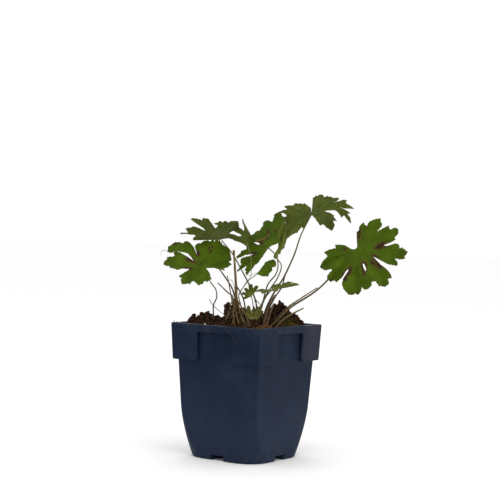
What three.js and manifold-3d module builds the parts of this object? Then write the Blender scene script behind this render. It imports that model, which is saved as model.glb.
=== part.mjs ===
// Hardy geranium, a young mourning widow cranesbill, in a square nursery pot.
// Millimetres, +Z up. The pot stands square to the axes and the plant is turned in it:
// in the plant's own frame X runs along its widest spread and Y from front to back.
import * as THREE from 'three';
import { mergeVertices } from 'three/addons/utils/BufferGeometryUtils.js';
import Module from 'manifold-3d';

const wasm = await Module();
wasm.setup();

// Pot
const potWidth = 90;
const potHeight = 109.5;
const potWall = 1.3;
const rimCorner = 3;
const lipHeight = 6;
const skirtDrop = 30;
const skirtWidth = 27;
const skirtTaper = 1.4;
const skirtCorner = 4;
const bandDrop = 27;
const bandHalf = 41.2;
const bodyTopHalf = 40.8;
const bodyFootHalf = 36.2;
const bodyCorner = 3;
const footCorner = 21;
const cornerFade = 42;
const channelWidth = 13;
const channelDepth = 4;
const floorThickness = 1.6;
const drainRadius = 3.5;
const drainPlaces = [[0, 0], [24, 0], [-24, 0], [0, 24], [0, -24]];

// Soil
const soilEdge = 105;

// Plant
const plantTurn = THREE.MathUtils.degToRad(36.2);
const bladeThickness = 0.7;
const barSteps = 9;
const clearance = 0.45;
const holeClearance = 0.5;

// Beyond a blade's outermost veins its fold grows over this many degrees.
const foldSpread = 20;

// Rings of points across a blade, as shares of the way out to its edge.
const largeRings = [0.36, 0.7, 1];
const smallRings = [0.5, 1];

// Each leaf: where its stalk meets the blade, the compass heading and the angle of its lean, the main
// vein of each lobe as [direction, length, upward bend], the blade's edge as [direction, length] at its
// teeth and cuts, and its stalk's route. Directions run anticlockwise from the blade's downhill side,
// seen from above.
const leaves = {
  leaf_right: {
    at: [88.8, -14, 174.4], heading: -90, lean: 78, fold: 0.12, rings: largeRings,
    veins: [[-84, 27, -14], [-64, 35, -14], [-39, 36, -18], [-2, 40, -8], [40, 40, -6], [85, 41, -6],
      [122, 37, -8], [157, 28, -10]],
    edge: [[-101, 11], [-98, 17], [-94.5, 19], [-89, 18], [-86, 24], [-81, 28], [-73, 26], [-68, 31],
      [-62, 35], [-54, 33], [-50.5, 29.5], [-48, 28], [-46, 35], [-42.5, 36], [-38, 35.5], [-35, 33],
      [-31, 33.5], [-27.5, 27.5], [-24.5, 22], [-23.2, 19.5], [-22, 24], [-21, 30], [-18, 36.5],
      [-14, 38], [-10, 39.5], [-4.5, 38.5], [-3, 37], [1, 38.5], [4, 35.5], [6, 32.5], [9, 35],
      [14, 35], [17, 31], [17.5, 22], [18, 13.5], [20, 22], [20.5, 30.5], [23, 30.5], [28, 29.5],
      [29, 36], [31, 36], [35, 38.5], [42, 38.5], [45, 35], [49, 37], [52, 33.5], [54, 28.5],
      [57, 22], [60, 14], [62, 24], [63, 29], [66, 35], [71, 34], [75, 31], [76, 36], [79, 39.5],
      [81, 38.5], [87, 41], [90, 38], [91, 34], [94, 33.5], [96.5, 30.5], [97, 25], [98.5, 21],
      [100, 25], [101, 28], [104, 31.5], [107, 31], [111, 35], [117, 37], [120, 35.5], [122.5, 31.5],
      [128, 31.5], [130, 25.5], [132, 21], [134, 26], [137, 28.5], [140, 28.5], [144, 31], [151, 28],
      [157, 24.5], [160, 20.5], [162, 20], [169, 22], [176.5, 18], [178, 14.5], [186, 13]],
    stalk: [[17, -6, 103], [20.5, -6, 111.5], [36.5, -7, 124.8], [56.9, -7, 139], [74, -6, 157],
      [88.8, -13.5, 174]],
    stalkRadius: 0.85,
  },
  leaf_top: {
    at: [51.4, 13, 201.5], heading: 90, lean: 32, fold: 0.03, rings: largeRings,
    veins: [[188, 27, 5], [214, 32, 0], [238, 40, -18], [258, 40, -50], [317, 27, -20],
      [407, 33, -60], [452, 31, -20], [482, 24, 0], [509, 19, 0]],
    edge: [[177, 8], [179, 16], [180.5, 22.5], [184, 24], [185.5, 26], [188.5, 27], [195, 28.5],
      [201, 25.5], [204, 28], [214, 30.5], [217, 32.5], [220.5, 33], [222, 29], [223, 25.5],
      [225, 34.5], [227.5, 38], [231, 35], [235, 38], [238.5, 40.5], [239.5, 33], [240.5, 27],
      [242, 31], [244.5, 35.5], [246, 32], [248, 36], [249, 24], [249.5, 12], [251, 15.5],
      [257, 19.5], [268, 19], [282, 22.5], [288, 19.5], [299, 23.5], [310, 25.5], [316, 26.5],
      [320.5, 21], [323, 17.5], [332, 16], [335, 7], [366, 3.5], [372, 12], [376, 19], [387, 18],
      [390, 23.5], [398, 25.5], [405, 29], [406.5, 36], [412, 35], [425, 28], [430, 24.5],
      [431, 22.5], [433, 25.5], [440, 27], [447, 25.5], [448.5, 20.5], [450, 28], [453, 31],
      [457, 32.5], [465, 25.5], [469, 22], [475, 25.5], [483, 22.5], [487, 19], [493, 20.5],
      [503, 18], [507, 19], [512, 16.5], [517, 16.5], [531, 9]],
    stalk: [[12, -3, 103], [13.1, -3, 111.1], [15.3, -3, 121.9], [22.3, -2, 136.9], [29.5, 0, 148.6],
      [37.8, 4, 167.7], [42.8, 8, 183.5], [51.4, 13, 201.1]],
    stalkRadius: 0.8,
  },
  leaf_centre: {
    at: [15.9, -14, 172.9], heading: -140, lean: 56, fold: 0.05, rings: largeRings,
    veins: [[185, 36, 0], [207, 35, 0], [237, 31, 0], [280, 34, 0], [318, 34, 0], [342, 29, 0]],
    edge: [[126, 6], [146, 11.5], [168, 17.5], [184, 29], [191, 34.5], [199, 33.5], [203, 32],
      [205.5, 27.5], [208, 28.5], [212, 30.5], [218, 32], [223, 30.5], [226, 28], [234, 27],
      [238, 30], [245, 29], [252, 30], [256, 26.5], [258, 18], [259, 12], [260.5, 20], [262, 26],
      [269, 27.5], [276, 26], [279, 32.5], [282, 31], [289, 34], [293, 32.5], [295, 24], [298.5, 15],
      [299.5, 26], [303, 28], [309, 28], [312, 29.5], [316, 32.5], [319, 32.5], [323, 27],
      [326, 22.5], [330, 24], [333, 27], [337, 27], [341, 29], [345, 22.5], [347, 18], [351, 16.5],
      [352, 8]],
    stalk: [[8.8, 2, 103], [9, 2, 112.3], [12, 2, 124], [16, 0, 141.2], [22.8, -2, 151],
      [24.1, -6, 160.2], [21.4, -10, 167.3], [16, -13.9, 172.5]],
    stalkRadius: 0.65,
  },
  leaf_left: {
    at: [-35.6, -10, 155.1], heading: -90, lean: 46, fold: 0.05, rings: largeRings,
    veins: [[92, 22, 0], [118, 26, 0], [152, 32, 0], [180, 30, 0], [207, 33, 0], [232, 39, 0],
      [266, 35, 0], [314, 28, 0], [352, 21, 0]],
    edge: [[82, 9], [84, 15.5], [88, 15], [93, 18.5], [99, 22], [108, 20], [111, 23], [131, 26.5],
      [141, 28], [157, 30.5], [160, 32], [162, 30.5], [163.5, 31.5], [165, 28], [166, 17],
      [167.5, 26.5], [169, 31], [175, 28.5], [178, 30.5], [183, 29.5], [191, 26], [194, 26.5],
      [198, 26], [203, 24], [204.5, 19], [206, 26.5], [208, 31.5], [213, 33], [217, 31.5],
      [221, 34.5], [226, 38], [231, 38.5], [233, 28], [235, 11.5], [236, 20], [237, 29], [240, 31],
      [248, 27.5], [254, 33], [257, 32], [260, 33.5], [265, 34.5], [268, 31], [270, 29], [274, 28.5],
      [276, 26], [278, 22], [279.5, 17], [282, 13], [289, 15.5], [297, 22.5], [300, 24], [304, 22.5],
      [309, 24.5], [318, 26], [326, 22.5], [329, 22.5], [330.5, 18], [348, 20.5], [350, 19],
      [357, 17.5], [361, 14.5], [369, 16.5], [376, 14.5], [384, 14.5], [386, 11.5], [394, 9]],
    stalk: [[-27.7, -6, 103], [-27.7, -6, 113.6], [-28, -6, 123.9], [-25.5, -6, 130.9],
      [-26.7, -6, 137.5], [-31.3, -7, 143.8], [-35.6, -9.6, 154.6]],
    stalkRadius: 0.6,
  },
  leaf_upper_left: {
    at: [-23.3, 24, 177.5], heading: 90, lean: 24, fold: 0.04, rings: largeRings,
    veins: [[92, 25, -5], [114, 35, 0], [143, 41, 10], [170, 33, 6], [197, 40, 0], [225, 29, 45],
      [252, 27, -40]],
    edge: [[88, 9], [90, 15.5], [92, 24], [99, 24], [102, 22], [107, 26], [109, 34], [112, 34],
      [115, 31], [121, 35], [125, 32.5], [128, 31], [131.5, 31], [136, 25], [139, 18.5], [141, 28],
      [143, 42.5], [148, 40], [152, 36.5], [153.5, 35], [156, 38], [162, 36.5], [164.5, 28],
      [166, 22], [168.5, 31], [174, 31.5], [178, 34.5], [181, 32], [185, 35], [190, 34],
      [191.5, 36.5], [194, 39], [197, 42], [207, 31], [216, 25], [225, 21.5], [233, 21], [236, 13],
      [240, 20], [242, 28], [255, 26], [266, 24.5], [268, 22], [269, 15], [270, 9]],
    stalk: [[7.4, 5, 103], [8.1, 5, 113.7], [7.5, 8, 123.5], [5.6, 11, 130.4], [2, 15, 138.5],
      [-6.3, 20, 153.5], [-14.2, 22, 166.5], [-23.3, 24, 177]],
    stalkRadius: 0.7,
  },
  leaf_folded: {
    at: [22.6, -17.9, 163], heading: -90, lean: 84, fold: 0.15, rings: smallRings,
    veins: [[147, 11, 0], [169, 33, 0], [190, 7, 0]],
    edge: [[137, 3], [140, 5], [144, 6.5], [147, 11], [157, 12.5], [160, 16.5], [165.5, 25],
      [170, 33.5], [171.5, 24.5], [172.5, 16], [174, 10], [184, 5], [198, 2.5]],
    stalk: [[7.5, -9, 103], [8, -9, 114.7], [13.4, -8, 130.4], [18.9, -8, 140], [24, -8, 148],
      [26.8, -13.1, 158], [22.8, -17.9, 164.5]],
    stalkRadius: 0.65,
  },
  leaf_small: {
    at: [7.3, -20, 151.6], heading: -90, lean: 62, fold: 0.06, rings: smallRings,
    veins: [[62, 8, 0], [88, 11, 0], [113, 16, 0], [137, 19, 0]],
    edge: [[60, 4], [67, 6], [74, 9.5], [85, 9], [96, 10], [106, 12], [111, 14], [115, 16.5],
      [127, 18], [136, 18.5], [142, 15.5], [147, 12], [149, 6]],
    stalk: [[-3, -17, 103], [-3.5, -17, 116.7], [-6.2, -19, 128.1], [-7.5, -20, 133],
      [-5.6, -21, 137.6], [0.7, -21, 146.3], [8.6, -19.6, 152.2]],
    stalkRadius: 0.5,
  },
  leaf_low: {
    at: [19.5, -24, 139.2], heading: -150, lean: 16, fold: 0.1, rings: smallRings,
    veins: [[-38, 15, 10], [20, 13, 5], [75, 14, 5], [128, 24, 5], [175, 19, 5], [222, 14, 8]],
    edge: [[-62, 6], [-55, 11], [-46, 12], [-38, 15], [-28, 12], [-20, 10], [-10, 6.5], [2, 10],
      [10, 12], [20, 13], [30, 11.5], [40, 9], [48, 6.5], [58, 10], [66, 13], [75, 14], [86, 12],
      [94, 9], [101, 8], [110, 15], [118, 20], [128, 24], [138, 20], [144, 16], [151, 10], [158, 14],
      [166, 18], [175, 19], [184, 17], [190, 12], [198, 7], [206, 11], [214, 13], [222, 14],
      [232, 12], [240, 8]],
    stalk: [[9.5, -12, 103], [9.7, -12, 113.4], [11.8, -15, 125.1], [15.2, -20, 133.6], [19.5, -24, 139]],
    stalkRadius: 0.6,
  },
  leaf_inner: {
    at: [2.6, -10, 132.7], heading: -90, lean: 60, fold: 0.2, rings: smallRings,
    veins: [[150, 11, 0], [184, 11, 0], [218, 9, 0], [255, 8, 0], [295, 7, 0]],
    edge: [[138, 6], [144, 10], [150, 11], [158, 10], [167, 6.5], [175, 10], [184, 11], [193, 9.5],
      [201, 5.5], [210, 8], [218, 9], [226, 8], [236, 5], [247, 7.5], [255, 8], [263, 7], [275, 4.5],
      [287, 6.5], [295, 7], [305, 5]],
    stalk: [[4.6, -9, 103], [5, -9, 113], [4.6, -9.5, 124.6], [2.6, -9.4, 133.8]],
    stalkRadius: 0.5,
  },
  leaf_bud: {
    at: [5.5, -17, 112.5], heading: -90, lean: 75, fold: 0.3, rings: smallRings,
    veins: [[148, 12, 10], [183, 9, 10], [212, 13, 10]],
    edge: [[132, 6], [140, 10], [148, 12], [157, 10], [166, 5], [175, 8], [183, 9], [190, 8],
      [198, 5], [205, 10], [212, 13], [222, 10], [230, 6]],
    stalk: [[5.5, -16, 103], [5.5, -16.4, 108], [5.5, -17, 112.7]],
    stalkRadius: 0.6,
  },
};

// Dead stalks: radius and route, and the route of a thinner one grown into it.
const deadStalks = {
  stalk_thick: {
    radius: 1.3,
    route: [[-4.6, -6, 103], [-5.9, -7, 114.2], [-9.3, -8, 129], [-9.7, -9, 137.3],
      [-10.9, -12, 152.4], [-12.5, -15, 170]],
    branch: [[0.8, -5, 103], [-0.6, -4.6, 113], [-2.9, -5, 127.3], [-6.4, -7, 135.7], [-9.6, -9, 140.8]],
  },
  stalk_left: {
    radius: 0.7,
    route: [[-11, 2, 103], [-10.4, 2.5, 113.5], [-12.3, 3, 130.2], [-16.6, 3, 134.3],
      [-25.2, 3, 142.2]],
  },
  stalk_behind: {
    radius: 0.8,
    route: [[-8, 9.5, 103], [-7.2, 9, 113.1], [-11.6, 8, 133.4], [-17.1, 8, 143.7], [-27, 8, 157]],
  },
  stalk_stub: {
    radius: 0.6,
    route: [[-10, -1, 103], [-11, -1, 117], [-14.5, -1, 135.1], [-17.4, -1, 148.6]],
  },
  stalk_centre: {
    radius: 0.8,
    route: [[12, 8, 103], [13.2, 7, 110.4], [21.1, 7, 128.6], [27.6, 7, 139.4], [30.6, 6, 150.2]],
  },
  stalk_right: {
    radius: 0.7,
    route: [[18, -1, 103], [20.6, -1, 109.5], [32, -1, 122.5], [45.6, -1, 132.6], [57.4, 0, 140.5]],
  },
  stub_right: {
    radius: 0.9,
    route: [[15, -11, 103], [19, -11, 106.9], [25.3, -11, 111.2], [35, -12, 118.1], [45.8, -13, 124.1]],
  },
};

function solid(geometry) {
  const bare = geometry.clone();
  bare.deleteAttribute('normal');
  bare.deleteAttribute('uv');
  const merged = mergeVertices(bare);
  return new wasm.Manifold(new wasm.Mesh({
    numProp: 3,
    vertProperties: new Float32Array(merged.attributes.position.array),
    triVerts: new Uint32Array(merged.index.array),
  }));
}

function geometryOf(body) {
  const mesh = body.getMesh();
  const geometry = new THREE.BufferGeometry();
  geometry.setAttribute('position', new THREE.BufferAttribute(new Float32Array(mesh.vertProperties), 3));
  geometry.setIndex(new THREE.BufferAttribute(new Uint32Array(mesh.triVerts), 1));
  geometry.computeVertexNormals();
  return geometry;
}

function fromTriangles(points, faces) {
  const geometry = new THREE.BufferGeometry();
  geometry.setAttribute('position', new THREE.Float32BufferAttribute(points.flat(), 3));
  geometry.setIndex(faces.flat());
  return geometry;
}

const unite = (bodies) => bodies.reduce((sum, body) => sum.add(body));
const turned = (body) => solid(geometryOf(body).rotateZ(plantTurn));

// A ring of points round a square with rounded corners, anticlockwise from above.
function squareRing(half, corner, z, arcSteps = 4) {
  const ring = [];
  for (let quarter = 0; quarter < 4; quarter += 1) {
    for (let step = 0; step <= arcSteps; step += 1) {
      const angle = (quarter + step / arcSteps) * Math.PI / 2;
      const toCorner = (quarter + 0.5) * Math.PI / 2;
      const reach = (half - corner) * Math.SQRT2;
      ring.push([
        reach * Math.cos(toCorner) + corner * Math.cos(angle),
        reach * Math.sin(toCorner) + corner * Math.sin(angle),
        z,
      ]);
    }
  }
  return ring;
}

// A closed body through rings of as many points each, from the lowest to the highest.
function loft(rings) {
  const count = rings[0].length;
  const points = rings.flat();
  const faces = [];
  for (let row = 0; row + 1 < rings.length; row += 1) {
    for (let k = 0; k < count; k += 1) {
      const a = row * count + k;
      const b = row * count + (k + 1) % count;
      faces.push([a, b, b + count], [a, b + count, a + count]);
    }
  }
  const middle = (ring) => [0, 1, 2].map((axis) => ring.reduce((sum, p) => sum + p[axis], 0) / count);
  const bottom = points.push(middle(rings[0])) - 1;
  const top = points.push(middle(rings.at(-1))) - 1;
  const last = (rings.length - 1) * count;
  for (let k = 0; k < count; k += 1) {
    const next = (k + 1) % count;
    faces.push([bottom, next, k], [top, last + k, last + next]);
  }
  return solid(fromTriangles(points, faces));
}

function seeded(seed) {
  let state = seed;
  return () => {
    state = (state * 1664525 + 1013904223) % 4294967296;
    return state / 4294967296;
  };
}

function box(width, depth, height) {
  return solid(new THREE.BoxGeometry(width, depth, height));
}

// Half width and corner radius of the pot's outside at a height.
const skirtBase = potHeight - skirtDrop;
const bandBase = potHeight - bandDrop;
const bodyHalf = (z) => bodyFootHalf + (bodyTopHalf - bodyFootHalf) * z / bandBase;
const bodyRadius = (z) => bodyCorner + (footCorner - bodyCorner) * Math.max(0, 1 - z / cornerFade) ** 1.7;
const floorTop = channelDepth + floorThickness;
const bodyLevels = [0, 3, 7, 12, 18, 25, 33, cornerFade, bandBase];

function cavityRings(inset, top) {
  const rings = [floorTop, ...bodyLevels.filter((z) => z > floorTop)].map((z) => (
    squareRing(bodyHalf(z) - inset, bodyRadius(z) - inset, z)));
  return [...rings, squareRing(bandHalf - inset, bodyCorner - inset, top)];
}

// The opening between two corner skirts, with their rounded lower corners, through the whole pot.
function skirtWindow() {
  const half = potWidth / 2 - skirtWidth;
  const below = skirtBase - 1;
  const shape = new THREE.Shape();
  shape.moveTo(-half - skirtCorner, below);
  shape.lineTo(half + skirtCorner, below);
  shape.lineTo(half + skirtCorner, skirtBase);
  shape.absarc(half + skirtCorner, skirtBase + skirtCorner, skirtCorner, -Math.PI / 2, -Math.PI, true);
  shape.lineTo(half, potHeight - lipHeight);
  shape.lineTo(-half, potHeight - lipHeight);
  shape.absarc(-half - skirtCorner, skirtBase + skirtCorner, skirtCorner, 0, -Math.PI / 2, true);
  const depth = 2 * potWidth;
  const prism = new THREE.ExtrudeGeometry(shape, { depth, bevelEnabled: false, curveSegments: 4 });
  return prism.translate(0, 0, -potWidth).rotateX(Math.PI / 2);
}

function makePot() {
  const rimTop = potHeight;
  const skirtHalf = potWidth / 2;
  const skirt = loft([
    squareRing(skirtHalf - skirtTaper, rimCorner, skirtBase),
    squareRing(skirtHalf, rimCorner, rimTop),
  ]);
  const underSkirt = loft([
    squareRing(skirtHalf - skirtTaper - potWall, rimCorner, skirtBase - 1),
    squareRing(skirtHalf - potWall, rimCorner, rimTop - 2 * potWall),
  ]);
  const window = skirtWindow();
  const corners = skirt
    .subtract(underSkirt)
    .subtract(solid(window))
    .subtract(solid(window.clone().rotateZ(Math.PI / 2)));
  const body = loft(bodyLevels.map((z) => squareRing(bodyHalf(z), bodyRadius(z), z)));
  const band = loft([squareRing(bandHalf, bodyCorner, bandBase), squareRing(bandHalf, bodyCorner, rimTop)]);
  const cavity = loft(cavityRings(potWall, rimTop + 1));
  const channels = box(2 * potWidth, channelWidth, 2 * channelDepth)
    .add(box(channelWidth, 2 * potWidth, 2 * channelDepth));
  const drains = unite(drainPlaces.map(([x, y]) => (
    solid(new THREE.CylinderGeometry(drainRadius, drainRadius, 2 * channelDepth, 12)
      .rotateX(Math.PI / 2)
      .translate(x, y, floorTop)))));
  return unite([corners, body, band]).subtract(cavity).subtract(channels).subtract(drains);
}

// Hills of the potting mix in the plant's frame: place, height and spread.
const hills = [[4, 0, 8, 24], [-34, 2, 14, 11], [-46, 0, 6, 6], [27, 5, 15, 8], [36, 4, 8, 8],
  [44, 3, 4, 5]];

// Bark standing on edge in it: place, width and height of its top.
const standingBark = [[-22, -1, 4.5, 124.5], [-17, 3, 5, 126], [26.5, 5, 6, 126.5],
  [22, 6, 6, 123], [-36, 2, 7, 121]];

function soilHeight(x, y) {
  const rise = hills.reduce((sum, [hx, hy, height, spread]) => (
    sum + height * Math.exp(-((x - hx) ** 2 + (y - hy) ** 2) / spread ** 2)), 0);
  const lumps = Math.sin(0.55 * x + 1.3) * Math.cos(0.47 * y) + 0.6 * Math.sin(1.1 * x - 0.9 * y);
  return soilEdge + rise + lumps;
}

function makeSoil(holes) {
  const inset = potWall + clearance;
  const shares = [1, 0.9, 0.78, 0.65, 0.52, 0.39, 0.26, 0.13];
  const sides = cavityRings(inset, soilEdge);
  sides[0].forEach((point) => { point[2] += clearance; });
  const [cos, sin] = [Math.cos(plantTurn), Math.sin(plantTurn)];
  const crust = shares.slice(1).map((share) => (
    squareRing((bandHalf - inset) * share, (bodyCorner + 20 * (1 - share)) * share, 0).map(([x, y]) => (
      [x, y, soilHeight(x * cos + y * sin, y * cos - x * sin)]))));
  const random = seeded(7);
  const chips = [...Array(16)].map(() => {
    const angle = 2 * Math.PI * random();
    const reach = 22 + 14 * random();
    const size = 1.6 + 2.2 * random();
    const [x, y] = [reach * Math.cos(angle), reach * Math.sin(angle)];
    return [x, y, soilHeight(x, y) - 0.5 * size, size];
  });
  const bark = chips.map(([x, y, z, size]) => {
    const chip = new THREE.IcosahedronGeometry(size, 0).scale(1, 0.7, 0.45 + 0.4 * random());
    chip.rotateX(3 * random()).rotateY(3 * random()).rotateZ(3 * random());
    return turned(solid(chip.translate(x, y, z)));
  });
  const slivers = standingBark.map(([x, y, width, top]) => {
    const foot = soilHeight(x, y) - 9;
    const sliver = new THREE.IcosahedronGeometry(1, 0).scale(width / 2, width / 3, (top - foot) / 2);
    return turned(solid(sliver.rotateY(0.2).translate(x, y, (top + foot) / 2)));
  });
  return loft([...sides, ...crust]).add(unite([...bark, ...slivers])).subtract(holes);
}

// The woody crown: a low knot with the stubs of old leaf stalks round its top.
const crownAt = [4, -2, 109];
const crownSize = [14, 10, 8];
const crownStubs = 10;

function crownKnot(extra) {
  const [length, depth, height] = crownSize.map((size) => size + extra);
  return solid(new THREE.IcosahedronGeometry(1, 1).scale(length, depth, height).translate(...crownAt));
}

function makeCrown(holes) {
  const random = seeded(11);
  const stubs = [...Array(crownStubs)].map((unused, k) => {
    const angle = 2 * Math.PI * (k + random()) / crownStubs;
    const height = 12 + 12 * random();
    const stub = new THREE.CylinderGeometry(0.55, 1.3, height, 5);
    stub.translate(0, height / 2, 0).rotateX(Math.PI / 2);
    stub.rotateX(-0.25 * Math.sin(angle)).rotateY(0.25 * Math.cos(angle));
    const [x, y, z] = crownAt;
    return solid(stub.translate(x + 9 * Math.cos(angle), y + 5 * Math.sin(angle), z - 1));
  });
  return turned(unite([crownKnot(0), ...stubs])).subtract(holes);
}

// A closed round bar along a smooth route.
function bar(route, radius) {
  const path = new THREE.CatmullRomCurve3(route.map((point) => new THREE.Vector3(...point)));
  const section = new THREE.Shape().absarc(0, 0, radius, 0, 2 * Math.PI);
  const options = { steps: barSteps, extrudePath: path, curveSegments: 3 };
  return solid(new THREE.ExtrudeGeometry(section, options));
}

// The plain hole that a stalk stands in: its own route, fatter and starting a little below its foot.
function holeFor(route, radius) {
  const [foot, next] = route.map((point) => new THREE.Vector3(...point));
  const below = foot.clone().sub(next).setLength(holeClearance).add(foot);
  return turned(bar([below.toArray(), ...route.slice(1)], radius + holeClearance));
}

// A ray of a blade to one point of its edge. Its reach and bend lie between those of the veins on
// either side, and across grows from 0 on a vein to 1 midway between two.
function bladeRay([angle, length], veins) {
  const next = veins.findIndex(([direction]) => direction > angle);
  const before = veins[next < 0 ? veins.length - 1 : Math.max(next - 1, 0)];
  const after = next < 0 ? before : veins[next];
  const gap = after[0] - before[0];
  const share = gap > 0 ? (angle - before[0]) / gap : 0;
  const [, reach, bend] = before.map((value, k) => value + share * (after[k] - value));
  const outside = Math.min(1, Math.abs(angle - before[0]) / foldSpread);
  const across = gap > 0 ? 1 - Math.abs(1 - 2 * share) : outside;
  return { angle, length, reach, bend, across };
}

function makeBlade(leaf) {
  const rays = leaf.edge.map((point) => bladeRay(point, leaf.veins));
  const points = [[0, 0, bladeThickness / 2], [0, 0, -bladeThickness / 2]];
  rays.forEach(({ angle, length, bend, reach, across }) => {
    const direction = THREE.MathUtils.degToRad(angle);
    leaf.rings.forEach((share) => {
      const along = share * length;
      const curl = THREE.MathUtils.degToRad(bend) * along / reach;
      const out = Math.abs(curl) < 1e-6 ? along : along * Math.sin(curl) / curl;
      const up = Math.abs(curl) < 1e-6 ? 0 : along * (1 - Math.cos(curl)) / curl;
      const folded = up + leaf.fold * across * along * Math.min(1, 2 * along / reach);
      [1, -1].forEach((side) => {
        const lift = side * bladeThickness / 2;
        const plan = out - lift * Math.sin(curl);
        const height = folded + lift * Math.cos(curl);
        points.push([plan * Math.cos(direction), plan * Math.sin(direction), height]);
      });
    });
  });
  const rings = leaf.rings.length;
  const at = (ray, ring, side) => (ring < 0 ? side : 2 + 2 * (ray * rings + ring) + side);
  const faces = [];
  for (let ray = 0; ray + 1 < rays.length; ray += 1) {
    for (let ring = 0; ring < rings; ring += 1) {
      const corners = (side) => [
        at(ray, ring - 1, side), at(ray, ring, side), at(ray + 1, ring, side), at(ray + 1, ring - 1, side)];
      const [a, b, c, d] = corners(0);
      const [e, f, g, h] = corners(1);
      faces.push([a, b, c], [e, g, f]);
      if (ring > 0) {
        faces.push([a, c, d], [e, h, g]);
      }
    }
    const edge = (side) => [at(ray, rings - 1, side), at(ray + 1, rings - 1, side)];
    const [a, b] = edge(0);
    const [c, d] = edge(1);
    faces.push([a, c, d], [a, d, b]);
  }
  const last = rays.length - 1;
  for (let ring = 0; ring < rings; ring += 1) {
    faces.push(
      [at(0, ring, 0), at(0, ring - 1, 0), at(0, ring - 1, 1)],
      [at(0, ring, 0), at(0, ring - 1, 1), at(0, ring, 1)],
    );
    faces.push(
      [at(last, ring, 1), at(last, ring - 1, 1), at(last, ring - 1, 0)],
      [at(last, ring, 1), at(last, ring - 1, 0), at(last, ring, 0)],
    );
  }
  return fromTriangles(points, faces)
    .rotateY(THREE.MathUtils.degToRad(leaf.lean))
    .rotateZ(THREE.MathUtils.degToRad(leaf.heading))
    .translate(...leaf.at);
}

function makeLeaf(leaf) {
  return turned(solid(makeBlade(leaf)).add(bar(leaf.stalk, leaf.stalkRadius)));
}

function makeStalk({ radius, route, branch }) {
  const stalk = bar(route, radius);
  return turned(branch ? stalk.add(bar(branch, radius / 2)) : stalk);
}

const routes = [
  ...Object.values(leaves).map((leaf) => [leaf.stalk, leaf.stalkRadius]),
  ...Object.values(deadStalks).map((stalk) => [stalk.route, stalk.radius]),
  [deadStalks.stalk_thick.branch, deadStalks.stalk_thick.radius / 2],
];
const stalkHoles = unite(routes.map(([route, radius]) => holeFor(route, radius)));
const crownHole = turned(crownKnot(2));

const finishes = {
  plastic: { color: 0x232c40, roughness: 0.55, metalness: 0 },
  soil: { color: 0x33271d, roughness: 1, metalness: 0 },
  rootstock: { color: 0x6b5a3a, roughness: 0.9, metalness: 0 },
  leaf: { color: 0x4c6a16, roughness: 0.6, metalness: 0 },
  straw: { color: 0x8f8264, roughness: 0.9, metalness: 0 },
};

const group = new THREE.Group();
function place(name, body, finish) {
  const mesh = new THREE.Mesh(geometryOf(body), new THREE.MeshStandardMaterial(finishes[finish]));
  mesh.name = name;
  group.add(mesh);
}

place('pot', makePot(), 'plastic');
place('soil', makeSoil(stalkHoles.add(crownHole)), 'soil');
place('crown', makeCrown(stalkHoles), 'rootstock');
Object.entries(leaves).forEach(([name, leaf]) => place(name, makeLeaf(leaf), 'leaf'));
Object.entries(deadStalks).forEach(([name, stalk]) => place(name, makeStalk(stalk), 'straw'));

const bounds = new THREE.Box3().setFromObject(group);
const centre = bounds.getCenter(new THREE.Vector3());
group.position.set(-centre.x, -centre.y, -bounds.min.z);

export default group;
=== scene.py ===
import math
import bmesh
import bpy
import numpy as np
from mathutils import Matrix, Vector
from mathutils.geometry import delaunay_2d_cdt


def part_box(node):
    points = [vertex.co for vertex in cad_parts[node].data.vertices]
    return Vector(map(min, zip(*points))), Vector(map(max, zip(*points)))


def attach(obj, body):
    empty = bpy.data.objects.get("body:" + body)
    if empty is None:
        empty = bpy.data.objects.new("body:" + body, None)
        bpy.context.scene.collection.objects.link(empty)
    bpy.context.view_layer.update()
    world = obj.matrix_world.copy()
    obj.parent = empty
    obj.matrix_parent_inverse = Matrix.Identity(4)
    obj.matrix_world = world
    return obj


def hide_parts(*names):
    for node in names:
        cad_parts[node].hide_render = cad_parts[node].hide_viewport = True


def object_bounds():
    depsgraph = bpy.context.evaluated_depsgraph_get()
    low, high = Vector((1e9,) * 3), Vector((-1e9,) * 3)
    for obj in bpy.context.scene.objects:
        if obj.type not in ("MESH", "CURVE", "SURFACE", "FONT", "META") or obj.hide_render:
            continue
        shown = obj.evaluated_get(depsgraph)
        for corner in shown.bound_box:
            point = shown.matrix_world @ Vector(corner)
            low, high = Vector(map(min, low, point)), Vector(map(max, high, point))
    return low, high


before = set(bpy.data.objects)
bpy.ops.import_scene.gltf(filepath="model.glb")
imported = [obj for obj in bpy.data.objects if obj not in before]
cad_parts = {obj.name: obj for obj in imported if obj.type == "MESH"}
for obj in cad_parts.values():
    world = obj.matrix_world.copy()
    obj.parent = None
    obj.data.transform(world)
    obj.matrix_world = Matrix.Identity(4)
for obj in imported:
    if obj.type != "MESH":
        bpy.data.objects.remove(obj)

cadLow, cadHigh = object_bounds()

# The plant stands turned in its square pot: its own frame has X along its widest spread.
plantTurn = math.radians(36.2)
turnCos, turnSin = math.cos(plantTurn), math.sin(plantTurn)
potLow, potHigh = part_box("pot")
potAxis = np.array([(potLow.x + potHigh.x) / 2, (potLow.y + potHigh.y) / 2, potLow.z])
seam = 1e-5        # metres that every piece stays inside the CAD box
uvSpan = 10        # millimetres to one unit of a UV map
veinSlope = 1.25   # how far a side vein runs along its main vein for each step away from it
poles = [[0, 0, -1], [0, 0, 1]]     # of a ball of radius one


def fromPot(points):
    # millimetres square to the pot and from its axis, to metres in the part's frame
    return np.asarray(points, float) / 1000 + potAxis


def fromPlant(points):
    # millimetres in the plant's frame, turned about the pot's axis, to metres in the part's frame
    points = np.asarray(points, float)
    x, y = points[..., 0], points[..., 1]
    return fromPot(np.stack([turnCos * x - turnSin * y, turnSin * x + turnCos * y, points[..., 2]], -1))


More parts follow.
